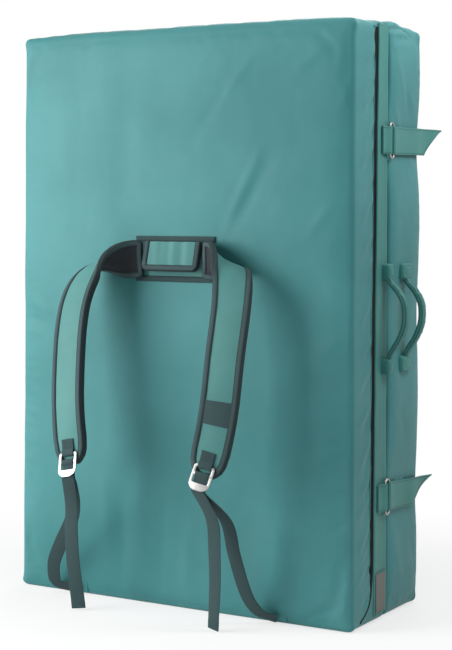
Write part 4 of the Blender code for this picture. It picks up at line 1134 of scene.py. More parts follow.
def relax_cloth(piece, seams, out_cap):
    """Lets the cover swell and settle between its seams, then fixes it. No point moves past its caps."""
    before = read_points(piece)
    normals = read_normals(piece)
    group = piece.vertex_groups.new(name="seams")
    for index in np.flatnonzero(seams):
        group.add([int(index)], 1.0, "REPLACE")
    cloth = piece.modifiers.new("cloth", "CLOTH")
    settings = cloth.settings
    settings.quality = CLOTH_QUALITY
    settings.mass = CLOTH_MASS
    settings.tension_stiffness = CLOTH_TENSION
    settings.compression_stiffness = CLOTH_COMPRESSION
    settings.shear_stiffness = CLOTH_SHEAR
    settings.bending_stiffness = CLOTH_BENDING
    settings.use_pressure = True
    settings.uniform_pressure_force = CLOTH_PRESSURE
    settings.shrink_min = -CLOTH_SLACK
    settings.vertex_group_mass = "seams"
    settings.pin_stiffness = 1.0
    settings.effector_weights.gravity = 0.0
    cloth.collision_settings.use_self_collision = False
    cloth.point_cache.frame_start = 1
    cloth.point_cache.frame_end = CLOTH_FRAMES
    scene = bpy.context.scene
    for step in range(1, CLOTH_FRAMES + 1):
        scene.frame_set(step)
    graph = bpy.context.evaluated_depsgraph_get()
    settled = piece.evaluated_get(graph).to_mesh()
    after = np.empty(len(settled.vertices) * 3)
    settled.vertices.foreach_get("co", after)
    after = after.reshape(-1, 3)
    piece.evaluated_get(graph).to_mesh_clear()
    piece.modifiers.clear()
    scene.frame_set(1)
    moved = after - before
    out_by = np.einsum("ij,ij->i", moved, normals)
    slide = moved - normals * out_by[:, None]
    swollen = out_cap * np.tanh(out_by / out_cap)
    capped = np.where(out_by > 0, swollen, CLOTH_IN * np.tanh(out_by / CLOTH_IN))
    write_points(piece, before + normals * capped[:, None] + slide * CLOTH_SLIDE_SHARE)


def face_place(half, x, z, lift=0.0):
    """A point on the big outer face."""
    crown = FACE_CROWN * (1 - abs(x / WALL_X) ** CROWN_ACROSS_POWER)
    crown *= 1 - abs(2 * z / PAD_HEIGHT - 1) ** CROWN_UP_POWER
    return (x, half_y(half, HALF_THICKNESS + crown + lift), z)


def side_place(half, depth, z, lift=0.0):
    """A point on the wall of the open side."""
    return (WALL_X + lift, half_y(half, depth), z)


def creases_on(place, half, rows, rise_share=1):
    """Creases from a table, on the face or wall whose places are given."""
    found = []
    for across, z, to_across, to_z, width, rise in rows:
        found.append((place(half, across, z), place(half, to_across, to_z), width, rise * rise_share))
    return found


# Folds: (across or depth, height, the same at the other end, width, rise)
front_face_creases = (
    (0.150, 0.955, 0.075, 0.845, 0.010, 0.0007),
    (0.172, 0.800, 0.092, 0.640, 0.009, 0.0008),
    (0.190, 0.782, 0.118, 0.655, 0.011, -0.0007),
    (0.120, 0.905, 0.020, 0.800, 0.014, -0.0005),
    (0.285, 0.960, 0.215, 0.905, 0.010, 0.0006),
    (0.300, 0.700, 0.250, 0.640, 0.010, 0.0006),
    (0.318, 0.480, 0.262, 0.440, 0.011, 0.0007),
    (0.312, 0.300, 0.250, 0.262, 0.012, 0.0006),
    (-0.330, 0.530, -0.262, 0.500, 0.008, 0.0008),
    (-0.332, 0.500, -0.270, 0.478, 0.007, -0.0007),
    (-0.325, 0.470, -0.285, 0.462, 0.008, 0.0006),
    (-0.150, 0.230, -0.138, 0.040, 0.016, 0.0011),
    (-0.110, 0.215, -0.102, 0.030, 0.014, -0.0010),
    (-0.072, 0.240, -0.070, 0.025, 0.015, 0.0009),
    (-0.020, 0.190, -0.028, 0.020, 0.014, -0.0008),
    (0.030, 0.160, 0.020, 0.015, 0.013, 0.0007),
    (0.200, 0.170, 0.215, 0.030, 0.016, 0.0008),
    (-0.230, 0.180, -0.235, 0.030, 0.015, 0.0008),
    (-0.240, 0.900, -0.232, 0.640, 0.022, 0.0009),
    (-0.100, 0.930, -0.108, 0.700, 0.026, -0.0007),
    (0.255, 0.600, 0.262, 0.330, 0.020, -0.0007),
)
rear_side_creases = (
    (-0.006, 0.997, 0.055, 1.004, 0.0032, -0.0042),
    (0.050, 1.004, 0.088, 0.990, 0.0032, -0.0040),
    (-0.004, 1.009, 0.060, 1.010, 0.0045, 0.0030),
    (0.004, 0.989, 0.078, 0.994, 0.0050, 0.0044),
    (0.016, 0.977, 0.086, 0.989, 0.0036, -0.0040),
    (0.020, 0.968, 0.090, 0.976, 0.0060, 0.0022),
    (0.020, 0.950, 0.060, 0.880, 0.0080, 0.0022),
    (0.045, 0.925, 0.082, 0.860, 0.0085, -0.0014),
    (0.012, 0.880, 0.050, 0.820, 0.0090, 0.0014),
    (0.070, 0.905, 0.112, 0.848, 0.0080, 0.0012),
    (0.055, 0.835, 0.104, 0.762, 0.0100, 0.0012),
    (0.030, 0.700, 0.062, 0.620, 0.0120, -0.0008),
    (0.084, 0.640, 0.100, 0.500, 0.0130, 0.0008),
    (0.100, 0.430, 0.088, 0.330, 0.0110, 0.0009),
    (0.040, 0.360, 0.075, 0.290, 0.0100, -0.0008),
    (0.018, 0.150, 0.052, 0.050, 0.0100, 0.0011),
    (0.090, 0.130, 0.112, 0.045, 0.0090, -0.0010),
)
rear_face_creases = (
    (0.280, 0.940, 0.160, 0.820, 0.013, 0.0009),
    (-0.280, 0.950, -0.190, 0.840, 0.013, 0.0009),
    (0.290, 0.080, 0.190, 0.190, 0.013, 0.0009),
    (-0.290, 0.070, -0.180, 0.200, 0.014, 0.0009),
    (0.060, 0.760, 0.020, 0.420, 0.024, 0.0009),
    (-0.120, 0.640, -0.090, 0.300, 0.026, -0.0008),
    (0.200, 0.500, 0.215, 0.240, 0.022, 0.0008),
)
FRONT_FACE_RISE_SHARE = 1.8
# Heights of the folds that run from the slot, and their sizes
slot_crease_heights = (
    0.965, 0.925, 0.893, 0.842, 0.800, 0.752, 0.716, 0.655, 0.612, 0.540, 0.478, 0.431, 0.366, 0.309,
    0.255, 0.213, 0.170, 0.142, 0.118, 0.092, 0.070,
)
SLOT_CREASE_REACH = 0.034
SLOT_CREASE_REACH_MORE = 0.020
SLOT_CREASE_FALL = 0.030
SLOT_CREASE_FALL_MORE = 0.022
slot_crease_rises = (0.0018, 0.0013)
SLOT_CREASE_WIDTH = 0.0072
SLOT_CREASE_FROM_SLOT = 0.002
SLOT_VALLEY_WIDTH = 0.0074
SLOT_VALLEY_BELOW = 0.012
SLOT_VALLEY_END_BELOW = 0.010
SLOT_VALLEY_REACH_SHARE = 0.7
SLOT_VALLEY_RISE_SHARE = 0.8


def front_creases():
    """The folds that the front cover shows: faint ones on its face, sharper ones beside the slot."""
    found = creases_on(face_place, "front", front_face_creases, FRONT_FACE_RISE_SHARE)
    for k, z in enumerate(slot_crease_heights):
        reach = SLOT_CREASE_REACH + SLOT_CREASE_REACH_MORE * ((k * 5) % 7) / 7
        fall = SLOT_CREASE_FALL + SLOT_CREASE_FALL_MORE * ((k * 3) % 5) / 5
        rise = slot_crease_rises[k % 2]
        near = HALF_THICKNESS - slot_middle(z) + SLOT_OPEN / 2 + SLOT_CREASE_FROM_SLOT
        start = side_place("front", near, z)
        end = side_place("front", near + reach, z - fall)
        found.append((start, end, SLOT_CREASE_WIDTH, rise))
        start = side_place("front", near, z - SLOT_VALLEY_BELOW)
        end = side_place("front", near + reach * SLOT_VALLEY_REACH_SHARE, z - fall - SLOT_VALLEY_END_BELOW)
        found.append((start, end, SLOT_VALLEY_WIDTH, -rise * SLOT_VALLEY_RISE_SHARE))
    return found


def rear_creases():
    """The folds of the rear cover: a tucked corner at the top, soft slanting folds under it."""
    found = creases_on(side_place, "rear", rear_side_creases)
    return found + creases_on(face_place, "rear", rear_face_creases)


def corner_ears(points, half):
    """The stitched corners of the outer face stand out a little as small ears."""
    for side in (-1, 1):
        for z in (0.0, PAD_HEIGHT):
            corner = np.array([side * WALL_X, half_y(half, HALF_THICKNESS), z])
            away = np.linalg.norm(points - corner, axis=1)
            outward = unit(np.array([side, 0.0, 0.55 if z else -0.0]))
            points = points + outward * (CORNER_EAR * bell(away / CORNER_EAR_REACH))[:, None]
    return points


def harness_hold(points):
    """One where the sewn harness panel holds the outer face flat, fading to nothing round it."""
    beside = np.abs(points[:, 0]) - YOKE_WIDTH / 2 - YOKE_WEBBING_OVERHANG
    above = np.abs(points[:, 2] - YOKE_HEIGHT) - YOKE_TALL / 2
    away = np.maximum(np.maximum(beside, above), 0)
    return bell(away / HARNESS_HOLD) * (points[:, 1] < FRONT_TOP_Y + EDGE_RADIUS)


def panel_hold(points, half):
    """The harness panel's hold, which only the front half has."""
    return harness_hold(points) if half == "front" else np.zeros(len(points))


def on_open_side(points):
    return points[:, 0] > WALL_X - CORNER_RADIUS / 2


def free_of_handle(points, share):
    """What is left of the cloth's freedom beside the carry handles, on the open side."""
    return 1 - share * bell((points[:, 2] - HANDLE_HEIGHT) / HANDLE_HOLD) * on_open_side(points)


def depth_from_landing(points):
    return np.abs(points[:, 1] - INTERFACE_Y) - HALVES_GAP / 2


def cover_lines(half, low, high, low_radii, high_radii):
    """Where a cover's cloth is divided: finer where it is slit, gathered or tucked."""
    if half == "front":
        slot = HALF_THICKNESS - SLOT_FROM_FRONT
        depths = tuple(slot + share * SLOT_WIDTH for share in slot_line_shares)
        heights = tuple(np.arange(*FRONT_FINE_HEIGHTS, FRONT_FINE_STEP))
    else:
        depths = tuple(np.arange(*REAR_FINE_DEPTHS, FINE_STEP))
        heights = tuple(np.arange(*REAR_FINE_HEIGHTS, FINE_STEP / 2))
    steps = ((GRID_STEP, ()), (FINE_STEP, depths), (FINE_STEP, heights))
    return [
        grid_lines(low[k], high[k], low_radii[k], high_radii[k], step, extra)
        for k, (step, extra) in enumerate(steps)
    ]


def cover_skin(half):
    """A half's closed skin before it settles: rounded, crowned, drawn in, and risen at its top end."""
    low = (-WALL_X, 0.0, 0.0)
    high = (WALL_X, HALF_THICKNESS, PAD_HEIGHT)
    low_radii = (CORNER_RADIUS, LANDING_EDGE_RADIUS, CORNER_RADIUS)
    high_radii = (CORNER_RADIUS, EDGE_RADIUS, CORNER_RADIUS)
    flat, faces = box_skin(cover_lines(half, low, high, low_radii, high_radii))
    points = rounded_box(flat, low, high, low_radii, high_radii)
    across = np.clip(np.abs(points[:, 0]) / WALL_X, 0, 1)
    up = np.clip(np.abs(2 * points[:, 2] / PAD_HEIGHT - 1), 0, 1)
    outer_share = np.clip((points[:, 1] - HALF_THICKNESS + EDGE_RADIUS) / EDGE_RADIUS, 0, 1)
    points[:, 1] += FACE_CROWN * (1 - across**CROWN_ACROSS_POWER) * (1 - up**CROWN_UP_POWER) * outer_share
    walls = np.where(points[:, 0] > 0, side_wall_x(points[:, 2], half), closed_wall_x(points[:, 2]))
    points[:, 0] += np.sign(points[:, 0]) * (walls - WALL_X) * across**WALL_DRAW_POWER
    end_rise = follow(end_rise_rows[half], points[:, 1])
    end_rise += TOP_RISE * (1 - across**END_RISE_POWER)
    near_top = np.clip((points[:, 2] - PAD_HEIGHT + TOP_LIFT_REACH) / TOP_LIFT_REACH, 0, 1)
    points[:, 2] += end_rise * near_top**2
    points[:, 1] = half_y(half, points[:, 1])
    return points, faces


def settle_cover(piece, half):
    """Lets the cloth swell between its seams, and less where closures, panel, handles or the slot hold it."""
    points = read_points(piece)
    beyond = np.abs(points[:, 0]) > WALL_X - CORNER_RADIUS
    depth = depth_from_landing(points)
    outer = depth > HALF_THICKNESS - EDGE_RADIUS
    end = (points[:, 2] > PAD_HEIGHT - CORNER_RADIUS) | (points[:, 2] < CORNER_RADIUS)
    landing = depth < LANDING_EDGE_RADIUS
    seams = (beyond & outer) | (beyond & end) | (outer & end) | landing
    slack = 1 - CLOSURE_HOLD_SHARE * held_share(points[:, 2]) * beyond
    slack *= 1 - HARNESS_HOLD_SHARE * panel_hold(points, half)
    slack *= free_of_handle(points, HANDLE_SLACK_SHARE)
    if half == "front":
        slack[on_open_side(points)] *= SLOT_SIDE_SLACK
    relax_cloth(piece, seams, CLOTH_OUT * slack)


def wave_lift(points, depth, half):
    """How far the cloth's own unevenness lifts each point."""
    free = np.clip((depth - LANDING_EDGE_RADIUS / 2) / LANDING_EDGE_RADIUS, 0, 1)
    low_wave = wander(points, LOW_WAVE_SCALE, low_wave_seeds[half])
    fine_wave = wander(points * FINE_WAVE_STRETCH, FINE_WAVE_SCALE, FINE_WAVE_SEED, FINE_WAVE_DEPTH)
    lift = (low_wave * LOW_WAVE + fine_wave * FINE_WAVE) * free * (1 - panel_hold(points, half))
    lift *= free_of_handle(points, HANDLE_WAVE_SHARE)
    if half == "front":
        lift[on_open_side(points)] *= SLOT_SIDE_WAVE_SHARE
    lift[points[:, 2] < CORNER_RADIUS] *= FOOT_WAVE_SHARE
    return lift


def cover_shade(points, fallen, depth, half):
    """How much painted shade each point takes: in the rear cover's tucks, and in the crevice along the open
    side's landing edge.
    """
    shade = TUCK_SHADE * np.clip(fallen / TUCK_DEPTH, 0, 1) if half == "rear" else np.zeros(len(points))
    inner = np.clip(LANDING_SHADE_START - depth / (LANDING_EDGE_RADIUS * LANDING_SHADE_REACH_SHARE), 0, 1)
    inner *= np.clip((points[:, 0] - WALL_X + LANDING_EDGE_RADIUS) / LANDING_EDGE_RADIUS * 2, 0, 1)
    climb = np.clip((points[:, 2] - LANDING_SHADE_FROM) / LANDING_SHADE_OVER, 0, 1)
    return np.maximum(shade, inner * (LANDING_SHADE + LANDING_SHADE_CLIMB * climb))


def slot_sunk(points, depth):
    """How far the open slot is sunk into the wall at each point."""
    away = np.abs(HALF_THICKNESS - depth - slot_middle(points[:, 2]))
    away = np.maximum(away, points[:, 2] - PAD_HEIGHT + SLOT_TOP_MARGIN / 3 + SLOT_OPEN / 2)
    open_share = np.clip((points[:, 2] - SLOT_FADE_LOW) / (SLOT_FADE_HIGH - SLOT_FADE_LOW), 0, 1)
    inside = SLOT_OPEN * SLOT_SUNK_SHARE * open_share - away
    sunk = SLOT_DEPTH * np.clip(inside / (SLOT_OPEN * SLOT_SOFT_SHARE), 0, 1)
    return np.where(on_open_side(points), sunk, 0)


def make_half(half):
    """Rounded, crowned and swollen fabric cover of one half, closed all round."""
    points, faces = cover_skin(half)
    piece = add_piece(half + "_half_cover", points, faces, coated_fabric, 180)
    settle_cover(piece, half)
    smoothed_once(piece)
    points = read_points(piece)
    normals = read_normals(piece)
    depth = depth_from_landing(points)
    points = points + normals * wave_lift(points, depth, half)[:, None]
    creased = press_creases(points, normals, front_creases() if half == "front" else rear_creases())
    fallen = np.einsum("ij,ij->i", points - creased, normals)
    # Painted shade in the tucks and in the crevice along the landing edge
    shade = cover_shade(points, fallen, depth, half)
    points = corner_ears(creased, half)
    beyond = np.where(points[:, 0] < 0, np.maximum(-points[:, 0] - closed_wall_x(points[:, 2]), 0), 0)
    points[:, 0] += beyond - CLOSED_SWELL * np.tanh(beyond / CLOSED_SWELL)
    if half == "front":
        points[:, 0] -= slot_sunk(points, depth)
    points[:, 2] = np.maximum(points[:, 2], 0.0)
    write_points(piece, points)
    mark_shade(piece, shade)
    seat(piece, half + "_half", "coated_fabric", half + "_cover", half + "_landing_sheet")
    return piece


def make_foams(half):
    """Three slabs seated on each other inside the cover."""
    inset = 0.006
    slabs = (
        ("firm", 0.004, 0.0235, firm_foam, "firm_foam"),
        ("core", 0.0239, 0.109, core_foam, "core_foam"),
        ("base", 0.1094, 0.124, base_foam, "base_foam"),
    )
    for name, near, far, look, slot in slabs:
        low = (-WALL_X + inset, near, inset)
        high = (WALL_X - inset - SLOT_DEPTH, far, PAD_HEIGHT - inset)
        radius = (0.006, 0.002, 0.006)
        lines = [grid_lines(low[k], high[k], radius[k], radius[k], 0.08) for k in range(3)]
        flat, faces = box_skin(lines)
        points = rounded_box(flat, low, high, radius, radius)
        points[:, 1] = [half_y(half, depth) for depth in points[:, 1]]
        piece = add_piece(half + "_" + name + "_slab", points, faces, look)
        seat(piece, half + "_half", slot, half + "_" + name + "_foam")


front_cover = make_half("front")
make_half("rear")
make_foams("front")
make_foams("rear")


# Sewing

thread_rows = {}


def sew(body, look, row, normals, pitch=STITCH_PITCH):
    """Keeps a row of stitches for later: points down the seam, with the way that the cloth faces at each."""
    rows = thread_rows.setdefault((body, look.name), [])
    rows.append((np.array(row, float), np.array(normals, float), pitch))


def stitch_rings(start, end, normal):
    along = unit(end - start)
    across = unit(np.cross(normal, along))
    rise = np.cross(along, across)
    rings = []
    for share, lift, swell in ((0.0, -0.6, 0.6), (0.22, 0.45, 1.0), (0.78, 0.45, 1.0), (1.0, -0.6, 0.6)):
        middle = start + (end - start) * share + rise * lift * THREAD_RADIUS
        ring = []
        for k in range(6):
            angle = k * math.pi / 3
            ring.append(middle + (across * math.cos(angle) + rise * math.sin(angle)) * THREAD_RADIUS * swell)
        rings.append(ring)
    return rings


def make_threads():
    for (body, look_name), rows in thread_rows.items():
        points = []
        faces = []
        for row, normals, pitch in rows:
            run = run_lengths(row)
            count = int(run[-1] / pitch)
            if len(normals) == 1:
                normals = np.repeat(normals, len(row), axis=0)
            for k in range(count):
                ends = []
                for place in (k * pitch, k * pitch + STITCH_LENGTH):
                    ends.append(np.array([np.interp(place, run, row[:, axis]) for axis in range(3)]))
                normal = np.array([np.interp(k * pitch, run, normals[:, axis]) for axis in range(3)])
                ring_points, ring_faces = loft(stitch_rings(ends[0], ends[1], unit(normal)))
                start = len(points)
                points += ring_points
                faces += [tuple(start + i for i in face) for face in ring_faces]
        name = body + "_" + look_name.replace("_thread", "") + "_stitching"
        piece = add_piece(name, points, faces, bpy.data.materials[look_name])
        slot = "webbing" if look_name.startswith("slate") else "coated_fabric"
        seat(piece, body, slot)


# Straps and webbing

tape_section_shares = (
    (-1.0, -0.35),
    (-1.0, 0.35),
    (-0.965, 0.85),
    (-0.90, 1.0),
    (-0.45, 1.0),
    (0.0, 1.0),
    (0.45, 1.0),
    (0.90, 1.0),
    (0.965, 0.85),
    (1.0, 0.35),
    (1.0, -0.35),
    (0.965, -0.85),
    (0.90, -1.0),
    (0.45, -1.0),
    (0.0, -1.0),
    (-0.45, -1.0),
    (-0.90, -1.0),
    (-0.965, -0.85),
)


def path_frames(places, acrosses):
    """A strip's place, width and outward direction at each step of its path."""
    places = np.array(places, float)
    frames = []
    for k, along in enumerate(directions(places)):
        across = np.array(acrosses[k] if len(acrosses) > 1 else acrosses[0], float)
        across = unit(across - along * np.dot(across, along))
        frames.append((places[k], across, np.cross(along, across)))
    return frames


def tape(name, places, acrosses, edges, thickness, look, side=1, bow=0.0, swell=None):
    """A strip of webbing down a path, with soft edges. It bows a little across its width."""
    frames = path_frames(places, acrosses)
    run = 0.0
    loops = []
    along_marks = []
    across_marks = []
    before = frames[0][0]
    for k, (place, across, out) in enumerate(frames):
        run += float(np.linalg.norm(place - before))
        before = place
        low, high = edges[k] if len(edges) > 1 else edges[0]
        middle = (low + high) / 2
        half = (high - low) / 2
        thick = thickness / 2 * (swell[k] if swell is not None else 1.0)
        loop = []
        for across_share, out_share in tape_section_shares:
            spot = middle + half * across_share
            lift = out_share * thick + bow * (1 - across_share**2)
            loop.append(tuple(place + across * spot + out * lift))
            along_marks.append(run)
            across_marks.append(spot)
        loops.append(loop)
    points, faces = loft(loops)
    piece = add_piece(name, mirrored(points, side), faces, look)
    mark_run(piece, along_marks, across_marks)
    return piece


def plate_grid(corner_lines, build):
    """A closed sheet over a grid of two lines: build(u, v, top) gives each point."""
    us, vs = corner_lines
    count = len(us) * len(vs)
    points = []
    for top in (True, False):
        for v in vs:
            for u in us:
                points.append(build(u, v, top))
    faces = []
    for top in (0, 1):
        for j in range(len(vs) - 1):
            for i in range(len(us) - 1):
                a = top * count + j * len(us) + i
                faces.append((a, a + 1, a + len(us) + 1, a + len(us)))
    rim = [i for i in range(len(us))]
    rim += [j * len(us) + len(us) - 1 for j in range(1, len(vs))]
    rim += [(len(vs) - 1) * len(us) + i for i in range(len(us) - 2, -1, -1)]
    rim += [j * len(us) for j in range(len(vs) - 2, 0, -1)]
    for k, here in enumerate(rim):
        there = rim[(k + 1) % len(rim)]
        faces.append((here, there, there + count, here + count))
    return points, faces


def spread(low, high, step, edge):
    """Even steps from low to high, with one close to each end so that the rim turns softly."""
    count = max(int(round((high - low) / step)), 2)
    inner = list(np.linspace(low + edge, high - edge, count + 1))
    return [low] + inner + [high]


def rim_drop(u, v, low_u, high_u, low_v, high_v, edge):
    """One inside a sheet, falling to nothing at its rim."""
    near = min(u - low_u, high_u - u, v - low_v, high_v - v)
    return math.sqrt(max(min(near / edge, 1.0), 0.0))


SHEET_RIM = 0.0007
SHEET_HEM_WIDTH = 0.006
SHEET_HEM_FADE = 0.002


def side_sheet(
    name, side, y_ends, z_ends, lift, thickness, look, wave=0.0, seed=1, step=0.008, hem=0.0, lean=None
):
    """A sheet laid on a side wall, with soft rims and a slight ripple. A hem is a thicker band round it."""
    us = spread(y_ends[0], y_ends[1], step / 2, SHEET_RIM)
    vs = spread(z_ends[0], z_ends[1], step, SHEET_RIM)

    def build(u, v, top):
        wall = closed_wall_x(v) if side < 0 else side_wall_x(v, "rear" if u > INTERFACE_Y else "front")
        base = wall + lift
        y = u if lean is None else lean(u, v)
        if not top:
            return (side * base, y, v)
        full = rim_drop(u, v, *y_ends, *z_ends, SHEET_RIM * 2)
        ripple = wave * noise.fractal(Vector((u * 30, v * 22, seed)), 1.0, 2.0, 2)
        near = min(u - y_ends[0], y_ends[1] - u, v - z_ends[0], z_ends[1] - v)
        inner = min(max((near - SHEET_HEM_WIDTH) / SHEET_HEM_FADE, 0.0), 1.0)
        extra = hem * (1 - inner) if hem else 0.0
        out = (thickness + extra) * (0.25 + 0.75 * full)
        return (side * (base + out + max(ripple, -thickness / 3)), y, v)

    points, faces = plate_grid((us, vs), build)
    return add_piece(name, points, faces, look)


def make_slot_closure():
    """The black closure seen in the open slot."""
    far = SLOT_FROM_FRONT + SLOT_WIDTH
    places = []
    edges = []
    for depth, z in refined(slot_path(), 2):
        near = slot_middle(z) - SLOT_OPEN / 2 - SLOT_TAPE_TUCK
        middle = HALF_THICKNESS - depth
        places.append((side_wall_x(z) - TAPE_SUNK - FABRIC / 2, FRONT_WALL_Y + middle, z))
        straight = z > SLOT_FADE_HIGH
        edges.append((near - middle, far - middle) if straight else (-SLOT_WIDTH / 2, SLOT_WIDTH / 2))
    top_x = side_wall_x(PAD_HEIGHT) - TAPE_SUNK - FABRIC / 2
    places.insert(0, (top_x, places[0][1], PAD_HEIGHT - SLOT_TAPE_FROM_TOP))
    edges.insert(0, edges[0])
    acrosses = [np.cross(WALL_NORMAL, along) for along in directions(places)]
    piece = tape("slot_closure", places, acrosses, edges, FABRIC, grip_tape)
    seat(piece, "front_half", "closure_tape", "front_closure_tape")


def make_slot_flap():
    """The hemmed flap beside the slot, which leans as the slot does."""
    slot_far = FRONT_WALL_Y + SLOT_TOP_MIDDLE + SLOT_OPEN / 2
    flap_far = half_y("front", LANDING_EDGE_RADIUS / 4)

    def lean(u, v):
        near = FRONT_WALL_Y + slot_middle(v) + SLOT_OPEN / 2
        return flap_far - (flap_far - u) * (flap_far - near) / (flap_far - slot_far)

    y_ends = (slot_far, flap_far)
    z_ends = (FLAP_MARGIN, PAD_HEIGHT + FLAP_TOP_RISE)
    flap = side_sheet(
        "slot_flap", 1, y_ends, z_ends, -SEAT_GAP, FLAP_CLOTH, flap_fabric,
        wave=FLAP_RIPPLE, seed=4, hem=FLAP_HEM, lean=lean,
    )
    flat = (flap_far - lean(slot_far, PAD_HEIGHT / 2), PAD_HEIGHT + FLAP_TOP_RISE - FLAP_MARGIN)
    seat(flap, "front_half", "coated_fabric", "front_slot_flap")


def make_label():
    """The bare label at the flap's foot, stitched down beside the slot and along its top."""
    near = FRONT_WALL_Y + slot_middle(0.0) + SLOT_OPEN / 2 + LABEL_FROM_SLOT
    far = FRONT_WALL_Y + SLOT_FROM_FRONT + SLOT_WIDTH + LABEL_BEYOND_SLOT + LABEL_WIDTH
    z_ends = (LABEL_FOOT, LABEL_FOOT + LABEL_HEIGHT)
    label = side_sheet(
        "bare_side_label", 1, (near, far), z_ends, FLAP_CLOTH + LABEL_OVER_FLAP, LABEL_THICKNESS, bare_label,
        wave=LABEL_RIPPLE, seed=6, step=0.004,
    )
    seat(label, "front_half", "label", "side_label_patch")
    side = near - LABEL_STITCH_BESIDE
    foot = LABEL_FOOT - LABEL_STITCH_ABOVE
    top = LABEL_FOOT + LABEL_HEIGHT + LABEL_STITCH_ABOVE
    for start_y, end_y, start_z, end_z in (
        (side, side, foot, top),
        (side, far + LABEL_STITCH_PAST, top, top + LABEL_STITCH_CLIMB),
    ):
        start = (side_wall_x(start_z) + FABRIC * 2.2, start_y, start_z)
        end = (side_wall_x(end_z) + FABRIC * 2.2, end_y, end_z)
        sew("front_half", dark_thread, [start, end], [(1, 0, 0)], STITCH_LENGTH * 1.1)


# The slot's foot narrows to a seam that curves forward to the bottom edge: (from the front, height)
slot_foot_places = (
    (0.0740, 0.092),
    (0.0736, 0.070),
    (0.0715, 0.050),
    (0.0650, 0.034),
    (0.0520, 0.022),
    (0.0320, 0.0105),
)
SLOT_SEAM_HALF_WIDTH = 0.0034
SLOT_SEAM_THICKNESS = 0.0009
SLOT_SEAM_LIFT = 0.0002
# Where the front panel's hem is pulled back from the slot: (height, half-length, depth)
hem_pulls = (
    (0.984, 0.012, 0.0060),
    (0.948, 0.007, 0.0022),
    (0.902, 0.008, 0.0020),
    (0.842, 0.007, -0.0012),
    (0.790, 0.008, 0.0016),
    (0.735, 0.008, 0.0020),
    (0.640, 0.009, 0.0014),
    (0.560, 0.008, -0.0012),
    (0.455, 0.008, 0.0016),
    (0.330, 0.009, 0.0016),
    (0.262, 0.006, -0.0014),
    (0.165, 0.006, 0.0030),
    (0.135, 0.007, 0.0018),
    (0.092, 0.006, 0.0065),
    (0.070, 0.006, 0.0040),
)


def make_slot_hem():
    """The rolled edge of the front panel beside the slot, gathered into shallow scallops."""
    top = PAD_HEIGHT - 0.002
    heights = np.linspace(top, SLOT_FADE_LOW + 0.012, 230)
    loops = []
    for z in heights:
        gather = noise.fractal(Vector((z * 19, 2.0, 3.0)), 1.0, 2.0, 3) * 0.0020
        pull = sum(depth * float(bell((z - place) / wide)) for place, wide, depth in hem_pulls)
        fade = min((top - z) / 0.02, (z - heights[-1]) / 0.02, 1.0)
        middle = HALF_THICKNESS - slot_middle(z) + SLOT_OPEN / 2 + 0.0010 + (gather + pull) * fade
        wide = 0.0015
        tall = 0.0013 + 0.0004 * noise.noise(Vector((z * 60, 5.0, 1.0)))
        loop = []
        for k in range(12):
            angle = k * math.pi / 6
            depth = middle + wide * math.cos(angle)
            rise = tall * math.sin(angle) - 0.0006
            loop.append((side_wall_x(z) + rise, half_y("front", depth), z))
        loops.append(loop)
    points, faces = loft(loops)
    hem = add_piece("slot_rolled_hem", points, faces, coated_fabric)
    seat(hem, "front_half", "coated_fabric")

    path = smooth_path(slot_foot_places, 40)
    places = [(side_wall_x(z) + SLOT_SEAM_LIFT, FRONT_WALL_Y + depth, z) for depth, z in path]
    acrosses = [np.cross(along, WALL_NORMAL) for along in directions(places)]
    halves = [SLOT_SEAM_HALF_WIDTH * (1 - k / 70) for k in range(len(places))]
    edges = [(-half, half) for half in halves]
    seam = tape("slot_foot_seam", places, acrosses, edges, SLOT_SEAM_THICKNESS, grip_tape)
    seat(seam, "front_half", "closure_tape")


def make_fold_hinge():
    """The fabric that joins the halves along the closed side, about which the pad folds. It is one flat sheet
    across the line where they meet.
    """
    y_ends = (INTERFACE_Y - HINGE_STRIP_REACH, INTERFACE_Y + HINGE_STRIP_REACH)
    z_ends = (FLAP_MARGIN, PAD_HEIGHT - FLAP_MARGIN)
    piece = side_sheet(
        "fold_hinge_fabric", -1, y_ends, z_ends, SEAT_GAP, FABRIC, flap_fabric,
        wave=STRIP_RIPPLE, seed=9, step=0.006,
    )
    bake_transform(piece)
    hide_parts("fold_hinge_strip")
    for y, body in ((y_ends[0] + STITCH_INSET, "front_half"), (y_ends[1] - STITCH_INSET, "rear_half")):
        row = [(-closed_wall_x(z) - FABRIC, y, z) for z in np.linspace(*STRIP_STITCH_ENDS, 25)]
        sew(body, teal_thread, row, [(-1, 0, 0)])


# Harness


def face_sheet(name, x_ends, z_ends, back, thickness, look, step=0.004, marks=False, wave=0.0):
    """A sheet on the harness face, with soft rims."""
    edge = 0.0006
    us = spread(x_ends[0], x_ends[1], step, edge)
    vs = spread(z_ends[0], z_ends[1], step, edge)

    def build(u, v, top):
        if not top:
            return (u, back, v)
        full = rim_drop(u, v, *x_ends, *z_ends, edge * 2)
        ripple = wave * noise.fractal(Vector((u * 40, v * 25, 2.0)), 1.0, 2.0, 2)
        return (u, back - thickness * (0.3 + 0.7 * full) + ripple, v)

    points, faces = plate_grid((us, vs), build)
    piece = add_piece(name, points, faces, look)
    if marks:
        mark_run(piece, [p[0] for p in points], [p[2] for p in points])
    return piece


PANEL_EDGE = 0.004
PANEL_RIPPLE = 0.0003
PANEL_STITCH_INSET = 0.002
PANEL_FRONT_Y = FRONT_TOP_Y - SEAT_GAP - FABRIC
WEBBING_FRONT_Y = PANEL_FRONT_Y - SEAT_GAP - WEBBING


